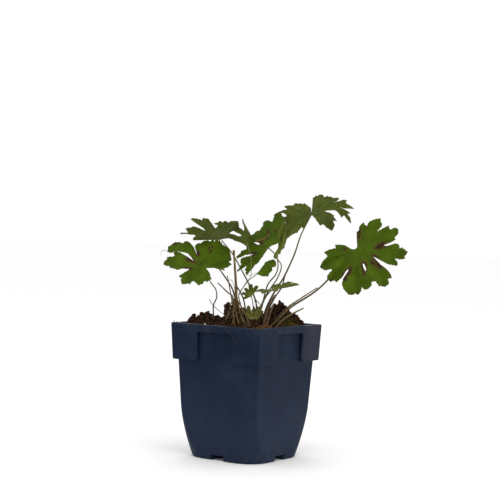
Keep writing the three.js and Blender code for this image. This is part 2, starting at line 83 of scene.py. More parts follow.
def gridFaces(rows, columns, start=0, closeRows=False, closeColumns=False):
    # quads between the neighbours of a rows by columns grid of vertices
    r = np.arange(rows if closeRows else rows - 1)[:, None]
    c = np.arange(columns if closeColumns else columns - 1)[None, :]
    below, beside = (r + 1) % rows, (c + 1) % columns
    corners = [r * columns + c, r * columns + beside, below * columns + beside, below * columns + c]
    return start + np.stack(corners, -1).reshape(-1, 4)


def fanFaces(ring, pole):
    # triangles from a closed ring of vertex numbers to one pole
    ring = np.asarray(ring)
    return np.stack([ring, np.roll(ring, -1), np.full(len(ring), pole)], -1)


def cappedFaces(rows, columns):
    # quads between closed rings, and a fan from each end to the two poles that follow the rings
    count = rows * columns
    return [gridFaces(rows, columns, closeColumns=True), fanFaces(np.arange(columns)[::-1], count),
            fanFaces(np.arange(count - columns, count), count + 1)]


def ballRings(rows, columns, most):
    # rings on a ball of radius one, from -most to most half turns of latitude
    lat = np.linspace(-most * math.pi, most * math.pi, rows)[:, None]
    lon = np.linspace(0, 2 * math.pi, columns, endpoint=False)[None, :]
    level = np.sin(lat) * np.ones_like(lon)
    return lat, lon, np.stack([np.cos(lat) * np.cos(lon), np.cos(lat) * np.sin(lon), level], -1)


def unit(rows):
    # each row divided by its length
    return rows / (np.linalg.norm(rows, axis=1, keepdims=True) + 1e-9)


def lengthAlong(path):
    # the length of a path up to each of its points
    return np.concatenate([[0], np.cumsum(np.linalg.norm(np.diff(path, axis=0), axis=1))])


def circle(angle, side, over):
    # cosine of the angle times one direction plus its sine times another, for every angle and place
    return np.cos(angle)[..., None] * side[:, None] + np.sin(angle)[..., None] * over[:, None]


def makePiece(name, parts, materials, nodes=(), sharp=75):
    # joins parts into one mesh that rides on the root; a part has v (metres), faces, and at will uv, the
    # point values below, and a finish for all its faces or for each block of them; edges steeper than
    # sharp degrees stay sharp
    faces, mats, start = [], [], 0
    for part in parts:
        one = [part.get("mat") or materials[0]] * len(part["faces"])
        for block, mat in zip(part["faces"], part.get("mats", one)):
            faces += (np.asarray(block) + start).tolist()
            mats.append(np.full(len(block), materials.index(mat)))
        start += len(part["v"])
    v = np.concatenate([part["v"] for part in parts])
    within = np.clip(v, np.array(cadLow) + seam, np.array(cadHigh) - seam)
    within[:, 2] = v[:, 2].clip(cadLow[2], cadHigh[2] - seam)
    mesh = bpy.data.meshes.new(name)
    mesh.from_pydata(within.tolist(), [], faces)
    mesh.polygons.foreach_set("material_index", np.concatenate(mats).astype(np.int32))
    corners = np.zeros(len(mesh.loops), np.int32)
    mesh.loops.foreach_get("vertex_index", corners)
    uvs = np.concatenate([part.get("uv", np.zeros((len(part["v"]), 2))) for part in parts])
    mesh.uv_layers.new(name="UVMap").data.foreach_set("uv", uvs[corners].ravel())
    for label in ("mask", "edging", "dried"):
        values = np.concatenate([part.get(label, np.zeros(len(part["v"]))) for part in parts])
        mesh.attributes.new(label, "FLOAT", "POINT").data.foreach_set("value", values)
    shell = bmesh.new()
    shell.from_mesh(mesh)
    bmesh.ops.recalc_face_normals(shell, faces=shell.faces)
    shell.to_mesh(mesh)
    shell.free()
    mesh.polygons.foreach_set("use_smooth", np.ones(len(mesh.polygons), bool))
    mesh.set_sharp_from_angle(angle=math.radians(sharp))
    for material in materials:
        mesh.materials.append(finishes[material])
    piece = bpy.data.objects.new(name, mesh)
    bpy.context.scene.collection.objects.link(piece)
    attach(piece, "root")
    if nodes:
        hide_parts(*nodes)
    print(name, len(mesh.polygons), "faces")
    return piece


def smoothPath(route, count):
    # a Catmull-Rom curve through the route's points, cut at equal steps of its length
    p = np.asarray(route, float)
    p = np.vstack([2 * p[0] - p[1], p, 2 * p[-1] - p[-2]])
    t = np.linspace(0, len(route) - 1 - 1e-6, 12 * len(route))
    k = t.astype(int)
    u = (t - k)[:, None]
    a, b, c, d = p[k], p[k + 1], p[k + 2], p[k + 3]
    curve = 0.5 * (2 * b + (c - a) * u + (2 * a - 5 * b + 4 * c - d) * u**2 + (3 * b - a - 3 * c + d) * u**3)
    length = lengthAlong(curve)
    even = np.linspace(0, length[-1], count)
    return np.stack([np.interp(even, length, curve[:, axis]) for axis in range(3)], -1)


def acrossPath(path):
    # two directions square to a path at each of its points; the fixed one is a way that no path takes
    ahead = unit(np.gradient(path, axis=0))
    side = unit(np.cross(ahead, [0.35, 0.9, 0.2]))
    return side, np.cross(ahead, side)


def tube(path, radius, sides=9, ridge=0.0, mat=None, place=fromPlant):
    # rings round a path: radius times one plus two small waves round the ring, with both ends closed
    path = np.asarray(path, float)
    rings = len(path)
    radius = np.broadcast_to(radius, rings)[:, None]
    angle = np.linspace(0, 2 * math.pi, sides, endpoint=False)[None, :]
    share = np.linspace(0, 1, rings)[:, None]
    wave = ridge * np.sin(3 * angle + 5 * share) + 0.5 * ridge * np.sin(5 * angle + 40 * share)
    reach = radius * (1 + wave)
    v = path[:, None] + reach[..., None] * circle(angle, *acrossPath(path))
    length = lengthAlong(path)[:, None] / uvSpan
    uv = np.stack(np.broadcast_arrays(angle / (2 * math.pi), length), -1)
    return {
        "v": place(np.vstack([v.reshape(-1, 3), path[:1], path[-1:]])), "faces": cappedFaces(rings, sides),
        "uv": np.vstack([uv.reshape(-1, 2), [[0.5, 0], [0.5, length[-1, 0]]]]),
        "mask": np.concatenate([np.repeat(share[:, 0], sides), [0, 1]]), "mat": mat,
    }


def hairs(roots, away, length, width, mat=None):
    # one thin three-sided spike at each root, from a small triangle to a tip
    away = unit(away)
    side = unit(np.cross(away, [0.3, 0.2, 0.9]))
    thirds = np.array([[0, 2.094, 4.189]])
    base = roots[:, None] + width * circle(thirds, side, np.cross(away, side))
    tip = roots + away * length[:, None]
    v = np.concatenate([base, tip[:, None]], 1).reshape(-1, 3)
    spike = np.array([[0, 1, 3], [1, 2, 3], [2, 0, 3], [0, 2, 1]])
    faces = (np.arange(len(roots))[:, None, None] * 4 + spike[None]).reshape(-1, 3)
    return {"v": fromPlant(v), "faces": [faces], "mat": mat}


def pebbles(centres, sizes, rng, mat=None, rough=0.22, place=fromPot):
    # small closed balls of 5 by 7 points, each squashed, dented and turned its own way
    count, rows, columns = len(centres), 5, 7
    ball = np.vstack([ballRings(rows, columns, 0.36)[2].reshape(-1, 3), poles])
    v = ball[None] * (1 + rough * rng.uniform(-1, 1, (count, len(ball), 1))) * sizes[:, None, :]
    q = rng.normal(size=(count, 4))
    q /= np.linalg.norm(q, axis=1, keepdims=True)
    w, x, y, z = q.T
    turn = np.stack([
        1 - 2 * (y * y + z * z), 2 * (x * y - w * z), 2 * (x * z + w * y),
        2 * (x * y + w * z), 1 - 2 * (x * x + z * z), 2 * (y * z - w * x),
        2 * (x * z - w * y), 2 * (y * z + w * x), 1 - 2 * (x * x + y * y)], -1).reshape(-1, 3, 3)
    v = np.einsum("nij,nkj->nki", turn, v) + centres[:, None]
    quads, *caps = cappedFaces(rows, columns)
    shift = (np.arange(count) * len(ball))[:, None, None]
    faces = [(quads[None] + shift).reshape(-1, 4), (np.vstack(caps)[None] + shift).reshape(-1, 3)]
    tone = np.repeat(rng.uniform(0, 1, count), len(ball))
    return {"v": place(v.reshape(-1, 3)), "faces": faces, "mask": tone, "mat": mat}


# Shading: small helpers that each add a node, then patterns that several finishes share.
def addNode(tree, kind, values=None, **settings):
    # each value is linked when it is a socket, and set when it isn't
    made = tree.nodes.new(kind)
    for key, value in settings.items():
        setattr(made, key, value)
    for socket, value in (values or {}).items():
        if isinstance(value, bpy.types.NodeSocket):
            tree.links.new(value, made.inputs[socket])
        else:
            made.inputs[socket].default_value = value
    return made


def linear(shade):
    # an sRGB colour of 0 to 255 as linear values; a socket stays as it is
    if isinstance(shade, bpy.types.NodeSocket):
        return shade
    levels = np.array(shade) / 255
    levels = np.where(levels <= 0.04045, levels / 12.92, ((levels + 0.055) / 1.055) ** 2.4)
    return (*levels.tolist(), 1.0)


def mixColour(tree, factor, first, second):
    values = {0: factor, 6: linear(first), 7: linear(second)}
    return addNode(tree, "ShaderNodeMix", values, data_type="RGBA").outputs[2]


def mathNode(tree, operation, first, second=0.0, third=0.0, clamp=False):
    values = {0: first, 1: second, 2: third}
    return addNode(tree, "ShaderNodeMath", values, operation=operation, use_clamp=clamp).outputs[0]


def times(tree, first, second):
    return mathNode(tree, "MULTIPLY", first, second)


def ramp(tree, value, low, high, toLow=0.0, toHigh=1.0):
    # toLow below low, toHigh above high, and a smooth step between them
    values = {"Value": value, "From Min": low, "From Max": high, "To Min": toLow, "To Max": toHigh}
    return addNode(tree, "ShaderNodeMapRange", values, interpolation_type="SMOOTHSTEP").outputs[0]


def stretched(tree, where, scale):
    return addNode(tree, "ShaderNodeMapping", {"Vector": where, "Scale": scale}).outputs[0]


def pointValue(tree, name):
    return addNode(tree, "ShaderNodeAttribute", attribute_name=name).outputs["Fac"]


def noise(tree, where, scale, detail, roughness=0.5):
    values = {"Vector": where, "Scale": scale, "Detail": detail, "Roughness": roughness}
    return addNode(tree, "ShaderNodeTexNoise", values).outputs[0]


def makeGroup(name, inputs, outputs):
    # a shader group with named sockets; returns it with what it is given and where its results go
    group = bpy.data.node_groups.new(name, "ShaderNodeTree")
    for way, labels in (("INPUT", inputs), ("OUTPUT", outputs)):
        for label in labels:
            kind = "NodeSocketVector" if label in ("Vector", "Normal") else "NodeSocketFloat"
            group.interface.new_socket(name=label, in_out=way, socket_type=kind)
    return group, addNode(group, "NodeGroupInput").outputs, addNode(group, "NodeGroupOutput").inputs


def useGroup(tree, group, values):
    return addNode(tree, "ShaderNodeGroup", values, node_tree=group).outputs


def makeMottle():
    # soft patches: noise at a scale, pulled apart between two levels
    group, given, out = makeGroup("mottle", ["Vector", "Scale", "Low", "High"], ["Patch"])
    cloud = noise(group, given[0], given[1], 5.0, 0.6)
    group.links.new(ramp(group, cloud, given[2], given[3]), out[0])
    return group


def makeGrain():
    # fine bumps: noise plus a height of its own as the height of a bump
    group, given, out = makeGroup("grain", ["Vector", "Scale", "Strength", "Height"], ["Normal"])
    total = mathNode(group, "ADD", noise(group, given[0], given[1], 4.0), given[3])
    bump = addNode(group, "ShaderNodeBump", {"Strength": given[2], "Distance": 0.0006, "Height": total})
    group.links.new(bump.outputs[0], out[0])
    return group


def makeVeins():
    # main vein where the distance from a lobe's middle is small; side veins where the way out,
    # less the slope times the distance from the middle, passes a multiple of their spacing
    group, given, out = makeGroup("veins", ["Vector", "Spacing", "Width"], ["Main", "Side"])
    wobble = noise(group, given[0], 2.2, 2.0)
    away, along = addNode(group, "ShaderNodeSeparateXYZ", {0: given[0]}).outputs[:2]
    shift = mathNode(group, "MULTIPLY_ADD", wobble, 0.35, along)
    phase = mathNode(group, "MULTIPLY_ADD", away, -veinSlope, shift)
    near = mathNode(group, "PINGPONG", mathNode(group, "DIVIDE", phase, given[1]), 0.5)
    gap, thin = times(group, near, given[1]), times(group, given[2], 0.6)
    group.links.new(ramp(group, away, 0.0, given[2], 1.0, 0.0), out[0])
    group.links.new(ramp(group, gap, 0.0, thin, 1.0, 0.0), out[1])
    return group


mottle, grain, veins = makeMottle(), makeGrain(), makeVeins()


def patches(tree, where, scale, low, high):
    return useGroup(tree, mottle, {"Vector": where, "Scale": scale, "Low": low, "High": high})[0]


def openFinish(name, roughness, specular):
    # a new material with its tree and its texture coordinates
    material = bpy.data.materials.new(name)
    material.use_nodes = True
    shader = material.node_tree.nodes["Principled BSDF"]
    shader.inputs["Roughness"].default_value = roughness
    shader.inputs["Specular IOR Level"].default_value = specular
    return material, material.node_tree, addNode(material.node_tree, "ShaderNodeTexCoord").outputs


def closeFinish(material, base, where=None, bumps=None, height=0.0):
    # links the colour and, where bumps are given as (scale, strength), the grain
    tree = material.node_tree
    shader = tree.nodes["Principled BSDF"]
    tree.links.new(base, shader.inputs["Base Color"])
    if bumps:
        values = {"Vector": where, "Scale": bumps[0], "Strength": bumps[1], "Height": height}
        tree.links.new(useGroup(tree, grain, values)[0], shader.inputs["Normal"])
    return material


# Patches are (scale, low, high), fades (low, high, amount below low, amount above high) over the height
# in metres, and bumps (scale, strength).
potFinish = {
    "plastic": (16, 27, 46), "worn": (27, 38, 57), "cloud": (28.0, 0.35, 0.75),
    "dust": (84, 84, 82), "footDust": (0.0, 0.03, 0.5, 0.0), "rimDust": (0.095, 0.11, 0.0, 0.6),
    "film": (160.0, 0.45, 0.8), "filmAmount": 0.28, "scuff": (420.0, 0.6, 0.78), "scuffAmount": 0.10,
    "rub": (48, 66, 92), "line": (900.0, 0.5, 0.7), "rimRub": (0.101, 0.109, 0.0, 0.4),
    "pale": (44, 54, 74), "footPale": (0.0, 0.085, 0.35, 0.0),
    # a painted highlight: a lighter colour on the far right corner skirt, standing in for the light that
    # falls on it
    "faded": (54, 52, 63), "highlightAcross": (0.03, 0.044), "highlightDeep": (0.012, 0.03),
    "highlightHeight": (0.076, 0.08, 0.0, 0.44),
    "bumps": (2600.0, 0.12), "roughness": 0.42, "dustyRoughness": 0.75, "specular": 0.05,
}


def makePotFinish(name, values):
    # navy worn in clouds, with level rubbed lines under the rim, a paler foot and a painted highlight on
    # one corner skirt under the rim; dust is the upright scuffs plus a film near the foot and the rim
    material, tree, coords = openFinish(name, values["roughness"], values["specular"])
    here = coords["Object"]
    across, deep, height = addNode(tree, "ShaderNodeSeparateXYZ", {0: here}).outputs
    fade = lambda key: ramp(tree, height, *values[key])
    base = mixColour(tree, patches(tree, here, *values["cloud"]), values["plastic"], values["worn"])
    line = patches(tree, stretched(tree, here, (0.2, 0.2, 2.4)), *values["line"])
    base = mixColour(tree, times(tree, line, fade("rimRub")), base, values["rub"])
    base = mixColour(tree, fade("footPale"), base, values["pale"])
    # painted highlight: the corner skirt at the far right made lighter, as if lit
    side = times(tree, ramp(tree, across, *(potAxis[0] + np.array(values["highlightAcross"])).tolist()),
                 ramp(tree, deep, *(potAxis[1] + np.array(values["highlightDeep"])).tolist()))
    base = mixColour(tree, times(tree, side, fade("highlightHeight")), base, values["faded"])
    scuff = patches(tree, stretched(tree, here, (1.0, 1.0, 0.12)), *values["scuff"])
    edge = mathNode(tree, "ADD", fade("footDust"), fade("rimDust"))
    film = times(tree, times(tree, edge, patches(tree, here, *values["film"])), values["filmAmount"])
    dusty = mathNode(tree, "MULTIPLY_ADD", scuff, values["scuffAmount"], film, clamp=True)
    rough = ramp(tree, dusty, 0.0, 0.4, values["roughness"], values["dustyRoughness"])
    tree.links.new(rough, tree.nodes["Principled BSDF"].inputs["Roughness"])
    return closeFinish(material, mixColour(tree, dusty, base, values["dust"]), here, values["bumps"])


leafFinishes = {
    "leafTop": {"dark": (48, 68, 5), "light": (72, 92, 9), "vein": (92, 108, 34), "veinAmount": 0.22,
                "blotch": (40, 25, 20), "dried": (106, 92, 38), "halo": (70, 60, 24), "bump": 0.3},
    "leafUnder": {"dark": (68, 80, 28), "light": (88, 100, 38), "vein": (112, 122, 62), "veinAmount": 0.4,
                  "blotch": (74, 58, 40), "dried": (120, 104, 60), "halo": (80, 76, 34), "bump": 0.4},
    "leafYoung": {"dark": (66, 80, 20), "light": (96, 106, 40), "vein": (124, 130, 70), "veinAmount": 0.35,
                  "blotch": (62, 44, 30), "dried": (120, 104, 60), "halo": (80, 70, 30), "bump": 0.5},
    "leafDowny": {"dark": (82, 86, 38), "light": (112, 114, 60), "vein": (134, 134, 84), "veinAmount": 0.4,
                  "blotch": (76, 60, 44), "dried": (120, 104, 60), "halo": (90, 80, 46), "bump": 0.6},
}
# What the leaves share: patches as above, and the levels between which each mark comes in.
leafPattern = {
    "patch": (90.0, 0.3, 0.72), "cells": (700.0, 0.3, 0.7), "cellAmount": 0.25,
    # streak: dark streaks drawn out along the veins, painted shade of the ripples between the side veins
    "streak": (1.0, 0.4, 0.7), "shadeStreakStretch": (14.0, 1.6, 1.0), "shadeStreakAmount": 0.45,
    "spacing": 4.2, "width": 0.7, "sideAmount": 0.5, "relief": -0.8,
    "halo": (0.72, 1.25), "blotch": (1.0, 1.7), "dried": (0.9, 1.6, 0.0, 0.75),
    "margin": (0.35, 1.0), "marginAmount": 0.5, "ragged": 430.0, "grain": 900.0,
}


def makeLeafFinish(name, values):
    # green in soft patches with painted shade as dark streaks along the veins, paler veins, brown spots
    # with a dull halo, and a darker margin
    look = leafPattern
    material, tree, coords = openFinish(name, 0.6, 0.06)
    here, uv = coords["Object"], coords["UV"]
    cells = times(tree, patches(tree, here, *look["cells"]), look["cellAmount"])
    # painted shade: dark streaks along the veins stand in for the shade of the ripples between side veins
    streak = patches(tree, stretched(tree, uv, look["shadeStreakStretch"]), *look["streak"])
    green = mixColour(tree, patches(tree, here, *look["patch"]), values["dark"], values["light"])
    green = mixColour(tree, cells, green, values["light"])
    green = mixColour(tree, times(tree, streak, look["shadeStreakAmount"]), green, values["dark"])
    sizes = {"Spacing": look["spacing"] / uvSpan, "Width": look["width"] / uvSpan}
    main, side = useGroup(tree, veins, {"Vector": uv, **sizes})
    strong = times(tree, main, values["veinAmount"])
    weak = times(tree, side, look["sideAmount"] * values["veinAmount"])
    line = mathNode(tree, "MAXIMUM", strong, weak)
    green = mixColour(tree, line, green, values["vein"])
    ragged = noise(tree, here, look["ragged"], 6.0)
    spot = mathNode(tree, "MULTIPLY_ADD", ragged, 1.2, pointValue(tree, "mask"))
    green = mixColour(tree, ramp(tree, spot, *look["halo"]), green, values["halo"])
    green = mixColour(tree, ramp(tree, spot, *look["blotch"]), green, values["blotch"])
    dry = mathNode(tree, "MULTIPLY_ADD", ragged, 1.1, pointValue(tree, "dried"))
    green = mixColour(tree, ramp(tree, dry, *look["dried"]), green, values["dried"])
    rim = times(tree, ramp(tree, pointValue(tree, "edging"), *look["margin"]), look["marginAmount"])
    green = mixColour(tree, rim, green, values["halo"])
    relief = times(tree, line, look["relief"])
    return closeFinish(material, green, here, (look["grain"], values["bump"]), relief)


# Foot, top and streak colours, and roughness.
stalkFinishes = {
    "petiole": [(88, 62, 46), (88, 92, 46), (62, 44, 34), 0.6],
    "straw": [(90, 72, 42), (120, 106, 70), (66, 50, 30), 0.8],
    "darkStraw": [(98, 78, 52), (86, 70, 52), (56, 42, 30), 0.85],
    "root": [(84, 56, 36), (104, 76, 52), (50, 34, 24), 0.85],
    "sheath": [(86, 60, 48), (94, 82, 62), (58, 38, 38), 0.7],
    "paleThread": [(122, 120, 88), (104, 108, 70), (86, 84, 56), 0.8],
    "dustyRoot": [(58, 54, 58), (66, 56, 58), (38, 38, 46), 0.9],
}
stalkPattern = {
    "stretch": (6.0, 0.7, 1.0), "streaks": (1.6, 0.42, 0.68), "amount": 0.75, "bumps": (1500.0, 0.4),
}


def makeStalkFinish(name, values):
    # colour runs from foot to top, with streaks drawn out along the stalk
    foot, top, streak, roughness = values
    material, tree, coords = openFinish(name, roughness, 0.15)
    lines = patches(tree, stretched(tree, coords["UV"], stalkPattern["stretch"]), *stalkPattern["streaks"])
    base = mixColour(tree, pointValue(tree, "mask"), foot, top)
    base = mixColour(tree, times(tree, lines, stalkPattern["amount"]), base, streak)
    return closeFinish(material, base, coords["Object"], stalkPattern["bumps"], lines)


# Dark, light and fleck colours.
earthFinishes = {
    "soil": [(30, 22, 17), (70, 54, 38), (104, 82, 56)],
    "bark": [(26, 18, 14), (84, 56, 36), (116, 88, 58)],
    "perlite": [(176, 172, 160), (214, 210, 200), (150, 140, 122)],
    "moss": [(50, 46, 18), (96, 90, 34), (76, 60, 26)],
    "flesh": [(64, 42, 22), (114, 82, 46), (146, 120, 80)],
}
earthPattern = {
    "patch": (330.0, 0.35, 0.72), "patchAmount": 0.45, "toneAmount": 0.6,
    "flecks": (1300.0, 0.62, 0.72), "fleckAmount": 0.5, "bumps": (1400.0, 0.8),
}


def makeEarthFinish(name, values):
    # dark to light by a share of each lump's own tone plus a share of a soft patch, with small flecks
    look, (dark, light, fleck) = earthPattern, values
    material, tree, coords = openFinish(name, 0.92, 0.1)
    here = coords["Object"]
    patch, flecks = patches(tree, here, *look["patch"]), patches(tree, here, *look["flecks"])
    soft = times(tree, patch, look["patchAmount"])
    level = mathNode(tree, "MULTIPLY_ADD", pointValue(tree, "mask"), look["toneAmount"], soft, clamp=True)
    base = mixColour(tree, level, dark, light)
    base = mixColour(tree, times(tree, flecks, look["fleckAmount"]), base, fleck)
    return closeFinish(material, base, here, look["bumps"], patch)


# A plain finish mixes two colours in soft patches: colours, patches, roughness and specular level.
plainFinishes = {
    "leafDown": [(104, 112, 60), (150, 152, 106), (300.0, 0.3, 0.7), 0.8, 0.1],
    "paleFloor": [(254, 254, 254), (252, 252, 252), (3.0, 0.2, 0.8), 0.9, 0.1],
}


def makePlainFinish(name, values):
    # one colour to the other by the soft patches
    first, second, soft, roughness, specular = values
    material, tree, coords = openFinish(name, roughness, specular)
    return closeFinish(material, mixColour(tree, patches(tree, coords["Object"], *soft), first, second))


finishes = {"navyPlastic": makePotFinish("navyPlastic", potFinish)}
for make, table in ((makeLeafFinish, leafFinishes), (makeStalkFinish, stalkFinishes),
                    (makeEarthFinish, earthFinishes), (makePlainFinish, plainFinishes)):
    finishes.update({name: make(name, values) for name, values in table.items()})
print("finishes made")


# Half widths, heights and radii in millimetres; drops are measured down from the rim.
pot = {
    "half": 45.0, "height": 109.5, "wall": 1.3, "rimCorner": 1.6, "lip": 6.0,
    "skirtDrop": 30.0, "skirtWidth": 27.0, "skirtTaper": 1.4, "skirtCorner": 4.0,
    "bandHalf": 41.2, "bandDrop": 27.0, "bandRise": 2.6, "bead": 0.3, "riseFrom": 33.0, "riseTo": 9.0,
    "topHalf": 40.8, "footHalf": 36.2, "footRound": 0.6, "corner": 3.0, "footCorner": 21.0,
    "cornerFade": 42.0, "channel": 6.5, "channelDepth": 4.0, "soilDepth": 14.0,
}


def squareEdge(half, corner, s):
    # the point of a rounded square on the ray through (1, s): on its flat, or where the ray meets the
    # corner's circle
    norm = np.sqrt(1 + s * s)
    ux, uy = 1 / norm, np.abs(s) / norm
    centre = half - corner
    inner = np.maximum(centre**2 * (ux + uy) ** 2 - 2 * centre**2 + corner**2, 0)
    reach = np.where(np.abs(s) * half <= centre, half / ux, centre * (ux + uy) + np.sqrt(inner))
    return reach * ux, reach * uy * np.sign(s)


def roundPot(half, corner, z, side):
    # four sides of a rounded square, each the first turned by a quarter; half and z may vary round it
    around = []
    for k, (c, s) in enumerate([(1, 0), (0, 1), (-1, 0), (0, -1)]):
        widths = half if np.ndim(half) == 0 else half[k * len(side):(k + 1) * len(side)]
        x, y = squareEdge(widths, corner, side)
        around.append(np.stack([c * x - s * y, s * x + c * y], -1))
    around = np.concatenate(around)
    return np.concatenate([around, np.broadcast_to(z, len(around))[:, None]], -1)


def sideSteps(marks, corners):
    # steps along one side from -1 to 1: marks on its flat part, then closer and closer to the corner
    rest = marks[-1] + (1 - marks[-1]) * (1 - (1 - np.linspace(0, 1, corners)) ** 1.7)[1:]
    positive = np.concatenate([marks, rest])
    return np.concatenate([-positive[::-1], positive])[:-1]


def makePotShell(p):
    # the body widens in a straight line from foot to band while its corners tighten; then the band with
    # its bead, the top edge and the inside down to the soil
    bandBase, top = p["height"] - p["bandDrop"], p["height"]
    band, bead, inner = p["bandHalf"], p["bandHalf"] + p["bead"], p["bandHalf"] - p["wall"]
    halfAt = lambda z: p["footHalf"] + (p["topHalf"] - p["footHalf"]) * z / bandBase
    rounder = p["footCorner"] - p["corner"]
    cornerAt = lambda z: p["corner"] + rounder * max(0, 1 - z / p["cornerFade"]) ** 1.7
    footHalf, footCorner = halfAt(0) - p["footRound"], cornerAt(0) - p["footRound"]
    edge = p["channel"] / p["footHalf"]
    side = sideSteps(np.array([0.0, 0.6 * edge, edge, edge + 0.004, 1.6 * edge, 2.4 * edge]), 22)
    foot = np.where(np.tile(np.abs(side) <= edge, 4), p["channelDepth"], 0.0)
    # the band's lower edge rises from the corners to the middle of each side
    share = (p["riseFrom"] - np.tile(np.abs(side), 4) * p["half"]) / (p["riseFrom"] - p["riseTo"])
    share = np.clip(share, 0, 1)
    rise = p["bandRise"] * share**2 * (3 - 2 * share)
    levels = [0.5, 1.5, 3, 4.2, 6, 8, 10, 13, 16, 19, 23, 27, 32, 37, p["cornerFade"], 52, 62, 72]
    rings = [roundPot(footHalf, footCorner, foot, side)]
    rings += [roundPot(halfAt(z), cornerAt(z), np.maximum(z, foot + 0.4), side) for z in levels]
    upper = [(halfAt(bandBase), bandBase - 0.3 + rise), (band - 0.1, bandBase + rise),
             (bead, bandBase + 0.3 + rise), (bead, bandBase + 0.9 + rise),
             (band, bandBase + 1.4 + rise), (band, top - 0.4)]
    rings += [roundPot(half, p["corner"], z, side) for half, z in upper]
    inside = [(band - 0.3, top - 0.1), (inner, top - 0.1), (inner, top - p["soilDepth"])]
    rings += [roundPot(half, p["corner"] - 0.9, z, side) for half, z in inside]
    count, pole = len(rings[0]), sum(len(ring) for ring in rings)
    shell = np.vstack([*rings, [[0, 0, top - p["soilDepth"]]]])
    faces = [gridFaces(len(rings), count, closeColumns=True), fanFaces(np.arange(pole - count, pole), pole)]
    # the underside: a square grid pulled in towards the rounded corners, with the channels' floor raised
    lines = np.concatenate([side, [1.0]])
    lineIn = np.abs(lines) <= edge
    s, t = np.meshgrid(lines, lines, indexing="ij")
    most = np.maximum(np.abs(s), np.abs(t)) + 1e-9
    steep = np.minimum(np.abs(s), np.abs(t)) / most
    rim = squareEdge(footHalf, footCorner, steep)[0] / footHalf
    pull = (1 - most**6 * (1 - rim)) * footHalf
    floor = np.where(lineIn[:, None] | lineIn[None, :], p["channelDepth"], 0.0)
    floor = np.stack([s * pull, t * pull, floor], -1).reshape(-1, 3)
    underside = {"v": fromPot(floor), "faces": [gridFaces(len(lines), len(lines))]}
    return [{"v": fromPot(shell), "faces": faces}, underside]


def makeSkirt(p):
    # one sheet round the rim, as deep as the lip between the corners and as deep as the skirts at them
    window = p["half"] - p["skirtWidth"]
    turn = window + p["skirtCorner"] * (1 - np.cos(np.linspace(0, math.pi / 2, 7)))
    marks = np.concatenate([[0, 0.5 * window, window - 1e-5], turn, [turn[-1] + 8]]) / p["half"]
    side = sideSteps(marks, 16)
    y = np.tile(np.abs(side), 4) * p["half"]
    inCurve = np.clip(turn[-1] - y, 0, None)
    curve = p["skirtCorner"] - np.sqrt(np.maximum(p["skirtCorner"] ** 2 - inCurve**2, 0))
    top, wall, lowest = p["height"], p["wall"], p["height"] - p["skirtDrop"]
    depth = np.where(y < window - 5e-6, p["lip"], top - lowest - curve)
    halfAt = lambda z: p["half"] - p["skirtTaper"] * (top - z) / p["skirtDrop"]
    rings = [roundPot(p["bandHalf"] - 0.8, p["corner"], top, side)]
    rings.append(roundPot(p["half"] - 0.5, p["rimCorner"], top, side))
    # down the outside, then up the inside a wall further in
    outside = [(share, 0.0) for share in (0.0, 0.25, 0.5, 0.75, 1.0)]
    for share, inset in [*outside, (1.0, wall), (0.5, wall), (0.0, wall)]:
        start, short = (0.5, 0.3) if inset == 0 else (2 * wall, 0.0)
        z = top - start - share * np.maximum(depth - start - short, 0.1)
        rings.append(roundPot(halfAt(z) - inset, p["rimCorner"] - 0.4 * inset, z, side))
    rings.append(roundPot(p["bandHalf"] - 0.8, p["corner"], top - 2 * wall, side))
    faces = gridFaces(len(rings), len(rings[0]), closeRows=True, closeColumns=True)
    return {"v": fromPot(np.concatenate(rings)), "faces": [faces]}


makePiece("potShell", [*makePotShell(pot), makeSkirt(pot)], ["navyPlastic"], ["pot"], sharp=38)


# The mix at the rim, how far from the axis it is strewn, hills as (x, y, height, width) in the plant's
# frame, and roughness as (height, length, seed) of sets of waves.
soil = {
    "edge": 105.0, "strewn": 37.5, "gap": 0.45, "depth": 13.0, "edgeFall": 0.6, "rings": 66,
    "rough": [(0.7, 6, 1), (0.45, 2.6, 2), (0.25, 1.3, 3)], "tone": (0.35, 0.3, 9, 5),
    "hills": [(4, 0, 8, 24), (-34, 2, 9, 10), (-23, 3, 4, 7), (-46, 0, 5, 6), (20.5, 5, 11, 6), (27, 5, 9, 6),
              (33, 5, 10, 6), (40, 4, 6, 6), (45, 3, 3, 5), (36, -12, 3, 7)],
}


def soilHeight(x, y):
    # the mix's height in the plant's frame: bell-shaped hills and two sets of waves
    rise = sum(h * np.exp(-((x - hx) ** 2 + (y - hy) ** 2) / w**2) for hx, hy, h, w in soil["hills"])
    lumps = np.sin(0.55 * x + 1.3) * np.cos(0.47 * y) + 0.6 * np.sin(1.1 * x - 0.9 * y)
    return soil["edge"] + rise + lumps


def waves(x, y, size, seed, count=14):
    # many sine waves of about one length in random directions, added and brought to about one
    rng = np.random.default_rng(seed)
    angle, phase, stretch = rng.uniform(0, 2 * math.pi, (3, count))
    total = sum(np.sin((x * math.cos(a) + y * math.sin(a)) * (0.7 + 0.1 * s) * 2 * math.pi / size + f)
                for a, f, s in zip(angle, phase, stretch))
    return total / math.sqrt(count)


